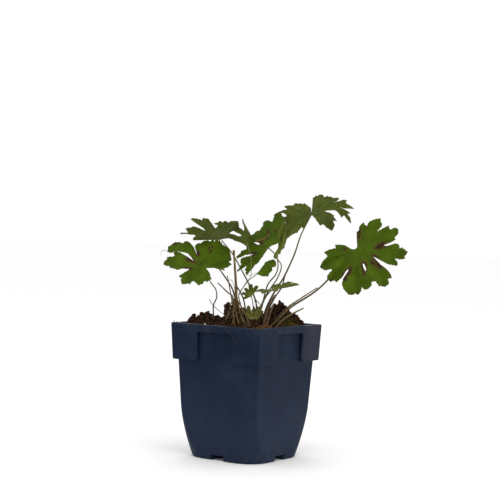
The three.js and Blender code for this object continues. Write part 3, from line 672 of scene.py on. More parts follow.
def makeSoil():
    # rounded squares from the pot's wall to its axis, lifted to the mix's height plus finer waves
    side = sideSteps(np.linspace(0, 0.85, 22), 12)
    shares = np.linspace(1, 0, soil["rings"])[:-1]
    half = pot["bandHalf"] - pot["wall"] - soil["gap"]
    rings = [roundPot(half * share, (1.6 + 20 * (1 - share)) * share, 0.0, side) for share in shares]
    flat, count, rows = np.concatenate(rings), len(rings[0]), len(rings) + 1
    x, y = flat[:, 0] * turnCos + flat[:, 1] * turnSin, flat[:, 1] * turnCos - flat[:, 0] * turnSin
    rough = sum(high * waves(x, y, size, seed) for high, size, seed in soil["rough"])
    flat[:, 2] = soilHeight(x, y) + rough - np.repeat((shares > 0.97) * soil["edgeFall"], count)
    low = pot["height"] - soil["depth"]
    skirt = rings[0].copy()
    skirt[:, 2] = low
    v = np.vstack([skirt, flat, [[0, 0, flat[-count:, 2].mean()], [0, 0, low]]])
    faces = [
        gridFaces(rows, count, closeColumns=True),
        fanFaces(np.arange((rows - 1) * count, rows * count), rows * count),
        fanFaces(np.arange(count)[::-1], rows * count + 1),
    ]
    middle, swing, size, seed = soil["tone"]
    tone = middle + swing * waves(v[:, 0], v[:, 1], size, seed)
    makePiece("soilMound", [{"v": fromPot(v), "faces": faces, "mask": tone}], ["soil"], ["soil"])


def onSoil(x, y):
    # true where a plant-frame place lies on the mix, inside the rim
    across, deep = turnCos * x - turnSin * y, turnSin * x + turnCos * y
    return (np.abs(across) < soil["strewn"]) & (np.abs(deep) < soil["strewn"])


# Piles as (x, y, radius, count, height, size of a chip) and specks as (x, y, height over the mix) in the
# plant's frame; crumbs as (x, y, z, size) square to the pot.
chips = {
    "seed": 7, "count": 1500, "spread": 52, "size": (0.6, 1.9), "lift": 0.4, "dent": 0.34,
    "middle": (0.45, 0.9), "flat": (0.25, 0.7), "pileSize": (0.5, 1.1), "pileRound": 2.4,
    "speckSize": (0.6, 1.2),
    "piles": [(-47, -1, 3, 26, 2, 1.2), (-38.5, 1, 3.5, 40, 3, 1.5), (-33, 2, 4, 40, 2, 1.5),
              (-31, -6, 5, 40, 2, 1.5), (-10, -4, 9, 420, 10, 1.6), (-15.6, -2, 3.4, 150, 17.5, 1.8),
              (-18, -1, 1.6, 60, 15, 1.3), (-10, -3, 6.5, 480, 13.5, 1.7), (-5, -14, 7, 160, 6, 1.5),
              (-20, -8, 5, 60, 2.5, 1.5), (8, -16, 8, 130, 4, 1.6), (22, -12, 7, 100, 4, 1.6),
              (26.8, 5, 1.6, 16, 4, 1.5), (28, 5, 6, 70, 1.5, 1.7), (40, 2, 5, 40, 2, 1.4),
              (-8, -24, 7, 50, 2.5, 1.6), (10, -32, 8, 60, 2, 1.5), (46, -2, 4, 20, 2, 1.2),
              (-26, -16, 7, 50, 2, 1.5), (30, -20, 7, 60, 2, 1.5), (-34, -20.5, 1.2, 10, 4.2, 1.2)],
    "crumbs": [(39.7, -39.7, 77.6, 0.55), (39.2, -40.2, 77.2, 0.4), (38.2, -40.6, 77.9, 0.3),
               (40.6, -38.8, 76.6, 0.35), (36.8, -30.6, 12.6, 0.3), (-42, -44.3, 109.8, 0.5),
               (-41.8, -44.3, 110.5, 0.4), (-41.6, -44.3, 111, 0.28), (-39.4, -44.3, 109.8, 0.45),
               (-39.2, -44.3, 110.4, 0.3)],
    "specks": [(-34, -20.8, 4.6), (-12, -22, 1.2), (31, -9, 1), (9, 26, 1), (-25, 17, 1), (38, 7, 1)],
}


def makeChips():
    # bark strewn over the mix, many small and few large, with piles of larger chips in places; a pile is
    # full height in its middle and falls with a power of the way out
    rng = np.random.default_rng(chips["seed"])
    x, y = rng.uniform(-chips["spread"], chips["spread"], (2, 6 * chips["count"]))
    keep = onSoil(x, y)
    x, y = x[keep][:chips["count"]], y[keep][:chips["count"]]
    size = chips["size"][0] + chips["size"][1] * rng.uniform(0, 1, len(x)) ** 3
    lift = chips["lift"] * size
    loose = len(x)
    for px, py, spread, count, high, big in chips["piles"]:
        around, out = rng.uniform(0, 2 * math.pi, count), rng.uniform(0, 1, count) ** 0.7
        x = np.concatenate([x, px + spread * out * np.cos(around)])
        y = np.concatenate([y, py + spread * out * np.sin(around)])
        size = np.concatenate([size, big * rng.uniform(*chips["pileSize"], count)])
        level = rng.uniform(0, 1, count) ** 0.7
        lift = np.concatenate([lift, high * (1 - out ** chips["pileRound"]) * level])
    centres = np.stack([x, y, soilHeight(x, y) + lift], -1)
    middle, flat = rng.uniform(*chips["middle"], len(x)), rng.uniform(*chips["flat"], len(x))
    sizes = size[:, None] * np.stack([np.ones(len(x)), middle, flat], -1)
    for name, part in (("barkChips", slice(0, loose)), ("barkPiles", slice(loose, None))):
        bark = pebbles(centres[part], sizes[part], rng, rough=chips["dent"], place=fromPlant)
        bark["mask"] = bark["mask"] ** 1.6
        makePiece(name, [bark], ["bark"])
    specks, crumbs = np.array(chips["specks"], float), np.array(chips["crumbs"], float)
    specks[:, 2] += soilHeight(specks[:, 0], specks[:, 1])
    sizes = rng.uniform(*chips["speckSize"], (len(specks), 3))
    makePiece("potCrumbs", [pebbles(crumbs[:, :3], crumbs[:, 3:] * [[1, 1, 0.8]], rng)], ["soil"])
    makePiece("perliteSpecks", [pebbles(specks, sizes, rng, place=fromPlant)], ["perlite"])


mossTuft = {
    "seed": 21, "shoots": 4200, "at": (36, -14), "spread": (5, 6), "lean": 0.5, "sunk": 0.3, "lift": 1.4,
    "length": (1.0, 2.2), "width": 0.34, "lumps": 260, "lumpSize": (0.5, 1.3), "dent": 0.3,
}


def makeMoss(values):
    # short pointed shoots over low lumps, normally spread about one place on the right of the mix
    rng = np.random.default_rng(values["seed"])
    x = values["at"][0] + values["spread"][0] * rng.normal(size=values["shoots"])
    y = values["at"][1] + values["spread"][1] * rng.normal(size=values["shoots"])
    keep = onSoil(x, y)
    x, y, count = x[keep], y[keep], keep.sum()
    roots = np.stack([x, y, soilHeight(x, y) - values["sunk"]], -1)
    away = [values["lean"] * rng.normal(size=count), values["lean"] * rng.normal(size=count), np.ones(count)]
    roots[:, 2] += rng.uniform(0, values["lift"], count)
    tuft = hairs(roots, np.stack(away, -1), rng.uniform(*values["length"], count), values["width"])
    tuft["mask"] = np.repeat(rng.uniform(0, 1, count), 4)
    pick = rng.choice(count, values["lumps"])
    sizes = rng.uniform(*values["lumpSize"], (values["lumps"], 3))
    cushion = pebbles(roots[pick], sizes, rng, rough=values["dent"], place=fromPlant)
    makePiece("mossTuft", [tuft, cushion], ["moss"])


# Strewn roots, and those that hang over the rim as (radius, route) square to the pot.
fibres = {
    "seed": 33, "count": 46, "reach": 34, "length": (8, 22), "points": 14, "fewest": 6, "bend": 0.12,
    "radius": (0.16, 0.34), "lift": 0.7, "arch": 0.9, "sides": 5, "ridge": 0.1,
    "overRim": [
        (0.16, [(9, -37, 107.5), (11.5, -42, 109.6), (13, -45.3, 109.2), (17, -45.5, 104), (20.5, -45.3, 102),
                (24.5, -45.2, 97)]),
        (0.12, [(26, -38, 107.5), (28, -42, 109.8), (28.6, -45.3, 109), (28, -45.4, 104)]),
        (0.17, [(36, -38, 107.5), (41, -41, 109.8), (45.3, -41, 109), (45.5, -34, 105), (45.3, -26, 101.5),
                (45.2, -19, 97)]),
        (0.2, [(37, -24, 107.5), (41, -24, 109.8), (45.3, -24, 109), (45.4, -20, 105)]),
    ],
}


def makeFibres(values):
    # thin dead roots lying over the mix in loose curves: equal steps along a heading that turns evenly
    rng = np.random.default_rng(values["seed"])
    parts = []
    for k in range(values["count"]):
        start = rng.uniform(-values["reach"], values["reach"], 2)
        heading = rng.uniform(0, 2 * math.pi)
        steps = np.linspace(0, rng.uniform(*values["length"]), values["points"])
        way = heading + rng.uniform(-values["bend"], values["bend"]) * steps
        x = start[0] + np.cumsum(np.cos(way)) * steps[1]
        y = start[1] + np.cumsum(np.sin(way)) * steps[1]
        inside = onSoil(x, y)
        if inside.sum() < values["fewest"]:
            continue
        x, y = x[inside], y[inside]
        arch = values["arch"] * np.abs(np.sin(np.linspace(0, 5, len(x)) + k))
        path = np.stack([x, y, soilHeight(x, y) + values["lift"] + arch], -1)
        parts.append(tube(path, rng.uniform(*values["radius"]), values["sides"], values["ridge"]))
    for radius, route in values["overRim"]:
        parts.append(tube(smoothPath(route, 24), radius, 6, values["ridge"], "dustyRoot", fromPot))
    makePiece("rootFibres", parts, ["root", "dustyRoot"])


makeSoil()
makeChips()
makeMoss(mossTuft)
makeFibres(fibres)
print("potting mix made")


# Each leaf: where its stalk meets the blade, heading and lean, how far it folds up between its veins, its
# stalk's radius, how deep its teeth are, finishes above and below, main veins as (direction, length, bend),
# margin as (direction, length) round the blade, holes as (direction, length, half length, half width),
# openings as the margin, dry places and brown spots as (direction, length, size), and its stalk's route.
# Directions run anticlockwise from the blade's downhill side.
leaves = {
    "leaf_right": {
        "at": (88.8, -14, 174.4), "heading": -90, "lean": 78, "fold": 0.12, "radius": 0.85,
        "finish": ("leafTop", "leafUnder"),
        "veins": [(-84, 27, -14), (-64, 35, -14), (-39, 36, -18), (-2, 40, -8), (40, 40, -6), (85, 41, -6),
            (122, 37, -8), (157, 28, -10)],
        "margin": [(205, 1.5), (186, 13), (178, 14.5), (177, 18), (169, 22), (162, 20), (159, 20.5),
            (158, 24.5), (151, 28), (144, 31), (140, 28.5), (137, 28.5), (134, 26.5), (132, 21), (130, 25.5),
            (128, 31.5), (122, 31), (121, 35.5), (117, 37), (111, 35), (107, 31), (104, 31.5), (101, 28),
            (97, 21), (95, 23.5), (98, 30.5), (96, 33.5), (91, 34), (92, 36), (90, 38), (87, 41), (81, 38.5),
            (79, 39.5), (76, 36), (75, 31), (71, 34), (66, 35), (61.5, 27.5), (61, 14), (54, 23), (54, 28.5),
            (52, 33.5), (49, 37), (45, 35), (42, 38.5), (35, 38.5), (31, 36), (29, 36), (28, 31), (24, 30.5),
            (22, 30), (20, 33), (14, 35), (9, 35), (6, 32.5), (5, 35.5), (1, 38.5), (-3, 37), (-4, 38.5),
            (-10, 39.5), (-14, 38), (-18, 36.5), (-23, 33), (-24.5, 28), (-22, 21.5), (-23, 19.5),
            (-26, 21.5), (-27, 27.5), (-31, 33.5), (-35, 33), (-38, 35.5), (-43, 36), (-46, 35), (-47.5, 31),
            (-48, 28), (-51, 29), (-54, 33), (-62, 35), (-68, 31), (-73, 26), (-82, 28), (-86, 24),
            (-89, 18), (-96, 19), (-98, 17), (-101, 11), (-90, 7), (-78, 5), (-70, 3), (-75, 1.5)],
        "holes": [(18.8, 16.8, 3.5, 0.9)],
        "spots": [(99, 19.5, 3.2), (93, 17, 2.2), (56.5, 18.5, 2.6), (50, 22.5, 2.4), (64, 15, 2.2),
            (46, 17, 2), (16.5, 16.5, 3), (13, 21, 2), (22, 15, 2.4), (-23, 22, 2.8), (-27, 26, 2.2),
            (-19, 20, 2.4), (-21, 28, 1.8), (177, 9, 2.2), (176, 14, 1.8), (-38, 36, 2), (-83, 10.6, 1.6)],
        "stalk": [(17, -6, 103), (20.5, -6, 111.5), (36.5, -7, 124.8), (56.9, -7, 139), (74, -6, 157),
            (88.8, -13.5, 174)],
    },
    "leaf_top": {
        "name": "leafTopmost", "at": (51.4, 13, 201.5), "heading": 90, "lean": 32, "fold": 0.03,
        "radius": 0.8, "toothing": 0.6, "finish": ("leafTop", "leafUnder"),
        "veins": [(188, 27, 5), (214, 32, 0), (238, 40, -18), (258, 40, -50), (317, 27, -20), (407, 33, -60),
            (452, 31, -20), (482, 24, 0), (509, 19, 0)],
        "margin": [(170, 1.5), (180, 8), (180, 22.5), (184, 24), (184, 26), (188, 26), (189, 27),
            (195, 28.5), (201, 25.5), (204, 28), (214, 30.5), (217, 32.5), (221, 33), (222, 29), (223, 25.5),
            (225, 34.5), (227, 38), (231, 35), (239, 40.5), (239, 35.5), (238, 30), (234, 26.5), (246, 35.5),
            (248, 32), (251, 35), (257, 36.5), (255, 32), (251, 29), (256, 26.5), (244, 22.5), (240, 15.5),
            (239, 11), (248, 13.5), (251, 16), (257, 19.5), (268, 19), (282, 22.5), (288, 19.5), (299, 23.5),
            (310, 25.5), (316, 26.5), (321, 21), (321, 17), (332, 17), (334, 7), (345, 3), (364, 2),
            (376, 19), (387, 18), (390, 23.5), (398, 25.5), (405, 29), (408, 31), (407, 37.5), (412, 35),
            (429, 26), (431, 22.5), (432, 25.5), (440, 27), (448, 25.5), (448, 20.5), (458, 23.5), (459, 29),
            (453, 31), (457, 32.5), (465, 25.5), (469, 22), (475, 25.5), (483, 22.5), (487, 19), (493, 20.5),
            (503, 18), (507, 19), (512, 16.5), (517, 16.5), (533, 8), (530, 1.5)],
        "spots": [(449, 20, 1.6), (430, 22, 1.6)],
        "stalk": [(12, -3, 103), (13.1, -3, 111.1), (15.3, -3, 121.9), (22.3, -2, 136.9), (29.5, 0, 148.6),
            (37.8, 4, 167.7), (42.8, 8, 183.5), (51.4, 13, 201.1)],
    },
    "leaf_centre": {
        "at": (15.9, -14, 172.9), "heading": -140, "lean": 56, "fold": 0.05, "radius": 0.65,
        "finish": ("leafTop", "leafUnder"),
        "veins": [(185, 36, 0), (207, 35, 0), (237, 31, 0), (280, 34, 0), (318, 34, 0), (342, 29, 0)],
        "margin": [(365, 1.5), (346, 4), (352, 8), (351, 16.5), (343, 18), (345, 22.5), (342, 29),
            (338, 27.5), (336, 26.5), (332, 27), (330, 24), (326, 22.5), (324, 26), (319, 31.5), (320, 33),
            (316, 33.5), (316, 31.5), (312, 29.5), (310, 27.5), (306, 28.5), (299, 28), (297, 26.5),
            (301, 18.5), (299, 15), (292, 24), (294, 32.5), (289, 34), (282, 31), (279, 32.5), (276, 26),
            (269, 27.5), (264, 27), (260, 26.4), (256, 27), (252, 30), (245, 29), (238, 30), (234, 27),
            (224, 28), (223, 30.5), (218, 32), (212, 30.5), (208, 28.5), (205.5, 27.5), (203, 32), (199, 33),
            (191, 34.5), (184, 30), (168, 22), (148, 16.2), (129, 12.3), (118, 9), (127, 3.6), (128, 1.5)],
        "openings": [[(259, 21), (256.5, 17), (255.5, 14), (259, 12.5), (263, 14), (261.5, 17.5)]],
        "dried": [(252.8, 18.6, 2), (247, 16.6, 2), (241.4, 15, 2.2), (233, 13.8, 2), (226, 13.1, 2),
            (212, 13.4, 1.8)],
        "spots": [(259, 16, 2.6), (254, 12, 2), (246, 13.5, 2.4), (298, 17, 2.8), (303, 14, 2), (292, 18, 2),
            (214.5, 17.7, 1.8), (222, 12.5, 1.9), (190, 16.5, 1.2)],
        "stalk": [(8.8, 2, 103), (9, 2, 112.3), (12, 2, 124), (16, 0, 141.2), (22.8, -2, 151),
            (24.1, -6, 160.2), (21.4, -10, 167.3), (16, -13.9, 172.5)],
    },
    "leaf_left": {
        "at": (-35.6, -10, 155.1), "heading": -90, "lean": 46, "fold": 0.05, "radius": 0.6,
        "finish": ("leafTop", "leafUnder"),
        "veins": [(92, 22, 0), (118, 26, 0), (152, 32, 0), (180, 30, 0), (207, 33, 0), (232, 39, 0),
            (266, 35, 0), (314, 28, 0), (352, 21, 0)],
        "margin": [(70, 1.5), (91, 7), (82, 10.5), (80, 16.5), (88, 15), (93, 18.5), (99, 22), (108, 20),
            (111, 23), (131, 26.5), (141, 28), (157, 30.5), (160, 32), (161, 30.5), (163, 31.5), (166, 30),
            (167, 28.5), (169, 31), (175, 28.5), (178, 30.5), (183, 29.5), (191, 26), (194, 26.5), (198, 26),
            (203, 24), (209, 13), (205, 24.5), (207, 31.5), (213, 33), (217, 31.5), (221, 34.5), (226, 37),
            (235, 38.5), (238, 37), (241, 36), (245, 35), (243, 31.5), (233, 29), (226, 21), (228, 16),
            (236, 11), (232, 18), (233, 26), (236, 29), (240, 31), (248, 27.5), (254, 33), (257, 32),
            (260, 33.5), (265, 34.5), (269, 32), (268, 29.5), (274, 28.5), (275, 26), (280, 23), (277, 19.5),
            (278, 15.5), (282, 13), (289, 15.5), (297, 22.5), (300, 24), (304, 22.5), (309, 24.5), (318, 26),
            (326, 22.5), (329, 23), (330, 18), (348, 20.5), (350, 19), (357, 17.5), (361, 14.5), (369, 16.5),
            (376, 14.5), (384, 14.5), (385, 11.5), (392, 8), (395, 4), (400, 1.5)],
        "dried": [(167, 25, 1.3), (169, 20.5, 1.1)],
        "spots": [(238, 12.5, 2.8), (233, 17, 2.2), (244, 16, 1.8), (203, 16, 2.3), (173, 21, 1.3),
            (166, 17.5, 1.4), (166, 23, 1), (136, 20, 1), (278, 15.5, 2.2), (284, 12, 1.6), (226, 37, 2.4)],
        "stalk": [(-27.7, -6, 103), (-27.7, -6, 113.6), (-28, -6, 123.9), (-25.5, -6, 130.9),
            (-26.7, -6, 137.5), (-31.3, -7, 143.8), (-35.6, -9.6, 154.6)],
    },
    "leaf_upper_left": {
        "at": (-23.3, 24, 177.5), "heading": 90, "lean": 24, "fold": 0.04, "radius": 0.7, "toothing": 0.2,
        "finish": ("leafTop", "leafUnder"),
        "veins": [(92, 25, -5), (114, 35, 0), (143, 41, 10), (170, 33, 6), (197, 40, 0), (225, 29, 45),
            (252, 27, -40)],
        "margin": [(91, 1.5), (94, 7.5), (89, 15.5), (92, 24), (99, 24), (102, 22), (110, 25), (105, 36),
            (112, 34), (115, 31), (121, 35), (125, 32.5), (128, 31), (131, 31.5), (137, 23.5), (140, 18.5),
            (144, 25.5), (143, 42.5), (148, 40), (152, 36.5), (153, 35), (156, 38), (163, 36.5), (165, 28),
            (166, 22), (174, 27.5), (171, 29), (169, 32), (174, 31.5), (178, 34.5), (181, 32), (185, 35),
            (190, 34), (191, 36.5), (194, 39.5), (197, 42), (207, 31), (225, 21.5), (231, 22), (235.5, 22.6),
            (233, 24), (229.5, 25.2), (225.5, 26.4), (219.5, 28.8), (212, 32.6), (221.3, 29.4),
            (227.8, 27.1), (234, 26.5), (239.5, 27.5), (242.5, 28.3), (244.5, 29), (250, 26.4), (262, 24.2),
            (268, 22.2), (262, 18), (252, 12), (240, 7), (217, 3.5), (190, 1.5)],
        "openings": [[(211, 12), (211, 16.3), (223, 16.3), (230.5, 16), (239, 18.8), (242, 18.8),
            (239.5, 15.4), (226.5, 12.7)]],
        "spots": [(163, 21.5, 1.6), (123, 16.5, 1.6), (188, 33, 1.6), (225, 20, 1.6)],
        "stalk": [(7.4, 5, 103), (8.1, 5, 113.7), (7.5, 8, 123.5), (5.6, 11, 130.4), (2, 15, 138.5),
            (-6.3, 20, 153.5), (-14.2, 22, 166.5), (-23.3, 24, 177)],
    },
    "leaf_folded": {
        "at": (22.6, -17.9, 163), "heading": -90, "lean": 84, "fold": 0.15, "radius": 0.65, "toothing": 0.5,
        "finish": ("leafUnder", "leafTop"),
        "veins": [(147, 11, 0), (169, 33, 0), (190, 7, 0)],
        "margin": [(180, 0.8), (145, 1.8), (165.5, 5.2), (149.5, 5.5), (154.5, 8), (153, 9.8), (148.5, 11.8),
            (155.5, 14.5), (156, 17.8), (160.5, 21.5), (165.5, 25.5), (170, 33.5), (174, 27), (178, 22.8),
            (178, 17.5), (175, 13), (174, 9.8), (188, 6.5), (221.5, 4), (238.5, 2.5)],
        "stalk": [(7.5, -9, 103), (8, -9, 114.7), (13.4, -8, 130.4), (18.9, -8, 140), (24, -8, 148),
            (26.8, -13.1, 158), (22.8, -17.9, 164.5)],
    },
    "leaf_small": {
        "at": (7.3, -20, 151.6), "heading": -90, "lean": 62, "fold": 0.06, "radius": 0.5, "toothing": 1.2,
        "finish": ("leafTop", "leafUnder"),
        "veins": [(62, 8, 0), (88, 11, 0), (113, 16, 0), (137, 19, 0)],
        "margin": [(60, 4), (67, 6), (75, 9.4), (80, 9.2), (91.5, 9.4), (101, 11.8), (106, 12.6),
            (112, 12.8), (116, 13.3), (115, 16.4), (124.5, 18.2), (136, 18.5), (142, 15.5), (146.5, 13),
            (149.5, 12), (148.5, 11), (147.5, 9.8), (149, 6), (157, 1.5), (284.5, 0.6), (52, 1.5)],
        "spots": [(112, 12, 1)],
        "stalk": [(-3, -17, 103), (-3.5, -17, 116.7), (-6.2, -19, 128.1), (-7.5, -20, 133),
            (-5.6, -21, 137.6), (0.7, -21, 146.3), (8.6, -19.6, 152.2)],
    },
    "leaf_low": {
        "at": (19.5, -24, 139.2), "heading": -150, "lean": 16, "fold": 0.1, "radius": 0.6,
        "finish": ("leafYoung", "leafUnder"),
        "veins": [(-38, 15, 10), (20, 13, 5), (75, 14, 5), (128, 24, 5), (175, 19, 5), (222, 14, 8)],
        "margin": [(-62, 6), (-55, 11), (-46, 12), (-38, 15), (-28, 12), (-20, 10), (-10, 6.5), (2, 10),
            (10, 12), (20, 13), (30, 11.5), (40, 9), (48, 6.5), (58, 10), (66, 13), (75, 14), (86, 12),
            (94, 9), (101, 8), (110, 15), (118, 20), (128, 24), (138, 20), (144, 16), (151, 10), (158, 14),
            (166, 18), (175, 19), (184, 17), (190, 12), (198, 7), (206, 11), (214, 13), (222, 14), (232, 12),
            (240, 8), (248, 1.5), (269, 0.6), (-70, 1.5)],
        "spots": [(-10, 7, 1.6), (58, 9, 1.4)],
        "stalk": [(9.5, -12, 103), (9.7, -12, 113.4), (11.8, -15, 125.1), (15.2, -20, 133.6),
            (19.5, -24, 139)],
    },
    "leaf_inner": {
        "at": (2.6, -10, 132.7), "heading": -90, "lean": 60, "fold": 0.2, "radius": 0.5,
        "finish": ("leafYoung", "leafUnder"),
        "veins": [(150, 11, 0), (184, 11, 0), (218, 9, 0), (255, 8, 0), (295, 7, 0)],
        "margin": [(138, 6), (144, 10), (150, 11), (158, 10), (167, 6.5), (175, 10), (184, 11), (193, 9.5),
            (201, 5.5), (210, 8), (218, 9), (226, 8), (236, 5), (247, 7.5), (255, 8), (263, 7), (275, 4.5),
            (287, 6.5), (295, 7), (305, 5), (313, 1.5), (401.5, 0.6), (130, 1.5)],
        "stalk": [(4.6, -9, 103), (5, -9, 113), (4.6, -9.5, 124.6), (2.6, -9.4, 133.8)],
    },
    "leaf_bud": {
        "at": (5.5, -17, 112.5), "heading": -90, "lean": 75, "fold": 0.3, "radius": 0.6,
        "finish": ("leafDowny", "leafDowny"),
        "veins": [(148, 12, 10), (183, 9, 10), (212, 13, 10)],
        "margin": [(120, 4), (130, 7), (140, 9.5), (150, 12), (157, 13.4), (163, 11.6), (168, 9.2),
            (172, 7.6), (178, 9.4), (184, 10.4), (190, 9.2), (195, 8.2), (201, 11.4), (208, 13), (216, 11.2),
            (226, 8.6), (238, 5.6), (248, 3.4), (361, 0.6)],
        "stalk": [(5.5, -16, 103), (5.5, -16.4, 108), (5.5, -17, 112.7)],
    },
}

# Lengths in millimetres: the blade's thickness, the step of its triangles, depths of grooves and quilting.
blade = {
    "thickness": 0.34, "step": 0.85, "groove": 0.35, "grooveWidth": 0.7, "quilt": 0.22, "quiltSpan": 4.2,
    "wave": 0.5, "foldSpread": 20.0, "tooth": 2.6, "toothDepth": 0.42, "marginStep": 0.45, "fullReach": 35,
    "spotLong": 1.5, "spotWide": 0.8, "fringe": 700, "fringeLength": (0.2, 0.5), "hairWidth": 0.03,
}
leafSlots = ["leafTop", "leafUnder", "leafYoung", "petiole", "leafDown", "leafDowny"]


def polar(points):
    # (direction, length) to x and y on the blade
    points = np.asarray(points, float)
    turn = np.radians(points[:, 0])
    return points[:, 1:2] * np.stack([np.cos(turn), np.sin(turn)], -1)


def alongBeside(direction):
    # the unit direction on the blade and the one square to it
    ahead = polar([(direction, 1.0)])[0]
    return ahead, np.array([-ahead[1], ahead[0]])


def smoothLoop(corners, steps):
    # a cubic through the corners whose tangents are 0.15 of the step between their neighbours
    a, b, c, d = [np.roll(corners, shift, 0)[:, None] for shift in (1, 0, -1, -2)]
    t = np.linspace(0, 1, steps, endpoint=False)[None, :, None]
    ends = (2 * t**3 - 3 * t**2 + 1) * b + (3 * t**2 - 2 * t**3) * c
    return (ends + 0.15 * ((t**3 - 2 * t**2 + t) * (c - a) + (t**3 - t**2) * (d - b))).reshape(-1, 2)


def toothed(loop, veins, depth, rng):
    # even steps round the margin, each pushed out by the absolute value of a sine, more near the lobes' ends
    closed = np.vstack([loop, loop[:1]])
    length = lengthAlong(closed)
    even = np.linspace(0, length[-1], int(length[-1] / blade["marginStep"]), endpoint=False)
    points = np.stack([np.interp(even, length, closed[:, axis]) for axis in (0, 1)], -1)
    ahead = np.roll(points, -1, 0) - np.roll(points, 1, 0)
    outward = unit(np.stack([ahead[:, 1], -ahead[:, 0]], -1))
    area = points[:, 0] * np.roll(points[:, 1], -1) - points[:, 1] * np.roll(points[:, 0], -1)
    out = np.linalg.norm(points, axis=1)
    size = blade["tooth"] * (0.4 + 0.6 * min(1, out.max() / blade["fullReach"]))
    bump = np.abs(np.sin(math.pi * even / size + 1.3 * np.sin(even / 7.1) + rng.uniform(0, 3))) - 0.6
    share = out / leafReach(points, veins)
    push = depth * size / blade["tooth"] * np.clip((share - 0.6) / 0.15, 0, 1) * bump
    return points + np.sign(area.sum()) * push[:, None] * outward


def leafAngle(points, veins):
    # directions in degrees, within half a turn of the middle of the veins
    middle = (veins[0, 0] + veins[-1, 0]) / 2
    return (np.degrees(np.arctan2(points[:, 1], points[:, 0])) - middle + 180) % 360 - 180 + middle


def leafReach(points, veins):
    # the length of the veins on either side, mixed by how near each is
    return np.interp(leafAngle(points, veins), veins[:, 0], veins[:, 1])


def insideLoops(points, loops):
    # a point is inside when an odd number of the loops' edges lie to its right
    inside = np.zeros(len(points), bool)
    x, y = points[:, 0, None], points[:, 1, None]
    for a in loops:
        b = np.roll(a, -1, 0)
        spans = (a[:, 1] > y) != (b[:, 1] > y)
        slope = (b[:, 0] - a[:, 0]) / np.where(np.abs(b[:, 1] - a[:, 1]) < 1e-9, 1e-9, b[:, 1] - a[:, 1])
        inside ^= (spans & (x < a[:, 0] + (y - a[:, 1]) * slope)).sum(1) % 2 == 1
    return inside


def fillLoops(loops, step, rng):
    # triangles between the loops, over their own points and a shaken honeycomb of points inside
    ring = np.concatenate(loops)
    (left, low), (right, high) = ring.min(0), ring.max(0)
    x, y = np.meshgrid(np.arange(left, right, step), np.arange(low, high, 0.87 * step))
    x[1::2] += step / 2
    inner = np.stack([x.ravel(), y.ravel()], -1) + rng.uniform(-0.15, 0.15, (x.size, 2)) * step
    clear = np.linalg.norm(inner[:, None] - ring[None], axis=2).min(1) > 0.62 * step
    inner = inner[clear & insideLoops(inner, loops)]
    starts = np.cumsum([0] + [len(loop) for loop in loops[:-1]])
    numbers = [start + np.arange(len(loop)) for start, loop in zip(starts, loops)]
    edges = np.concatenate([np.stack([around, np.roll(around, -1)], -1) for around in numbers])
    points = [Vector(point) for point in np.vstack([ring, inner]).tolist()]
    found = delaunay_2d_cdt(points, edges.tolist(), [], 0, 1e-5)
    flat, faces = np.array([tuple(point) for point in found[0]]), np.array(found[2])
    faces = faces[insideLoops(flat[faces].mean(1), loops)]
    used, faces = np.unique(faces, return_inverse=True)
    return flat[used], faces.reshape(-1, 3)


def bladeShape(leaf, flat, rng):
    # each point curls up by the bend of the veins round it; between two veins the blade rises by the fold;
    # grooves follow the veins, quilting follows the side veins, and slow waves lift the margin
    veins = np.array(leaf["veins"], float)
    along = np.linalg.norm(flat, axis=1)
    angle = leafAngle(flat, veins)
    reach = leafReach(flat, veins)
    share = along / reach
    curl = np.radians(np.interp(angle, veins[:, 0], veins[:, 2])) * along / reach
    curl = np.where(np.abs(curl) < 1e-4, 1e-4, curl)
    place = np.interp(angle, veins[:, 0], np.arange(len(veins)))
    beyond = np.clip(np.maximum(veins[0, 0] - angle, angle - veins[-1, 0]) / blade["foldSpread"], 0, 1)
    across = np.where(beyond > 0, beyond, np.sin(math.pi * (place % 1)))
    nearest = np.abs(angle[:, None] - veins[None, :, 0]).min(1)
    away = along * np.sin(np.radians(np.minimum(nearest, 60)))
    out = along * np.sin(curl) / curl
    up = along * (1 - np.cos(curl)) / curl
    folded = leaf["fold"] * across * along * np.minimum(1, 2 * along / reach)
    groove = -blade["groove"] * np.exp(-((away / blade["grooveWidth"]) ** 2)) * np.minimum(1, along / 6)
    phase = 2 * math.pi * (along - veinSlope * away) / blade["quiltSpan"]
    quilt = blade["quilt"] * np.sin(phase) * np.minimum(1, away / 2)
    turn, (slow, fast) = np.radians(angle), rng.uniform(0, 6, 2)
    wave = np.sin(3 * turn + slow) + 0.7 * share * np.sin(7 * turn + fast)
    small = blade["wave"] * np.minimum(1, reach / blade["fullReach"])
    wave = small * share**2 * np.clip(1.6 - 1.5 * share, 0, 1) * wave
    height = up + folded + groove + quilt + wave
    v = np.stack([out * np.cos(turn), out * np.sin(turn), height], -1)
    return v, np.stack([away, along], -1) / uvSpan


def sheetNormals(v, faces):
    # the sum of the normals of the triangles round each point, brought to length one
    a, b, c = v[faces[:, 0]], v[faces[:, 1]], v[faces[:, 2]]
    total = np.zeros_like(v)
    for corner in range(3):
        np.add.at(total, faces[:, corner], np.cross(b - a, c - a))
    return total / (np.linalg.norm(total, axis=1, keepdims=True) + 1e-12)


def bladeLoops(leaf, rng):
    # the toothed margin, then ellipses for the holes and drawn loops for the openings
    depth = blade["toothDepth"] * leaf.get("toothing", 1)
    loops = [toothed(smoothLoop(polar(leaf["margin"]), 3), np.array(leaf["veins"], float), depth, rng)]
    turn = np.linspace(0, 2 * math.pi, 9)[:-1, None]
    for direction, length, half, width in leaf.get("holes", []):
        ahead, beside = alongBeside(direction)
        loops.append(ahead * length + half * np.cos(turn) * ahead + width * np.sin(turn) * beside)
    return loops + [smoothLoop(polar(opening), 3) for opening in leaf.get("openings", [])]


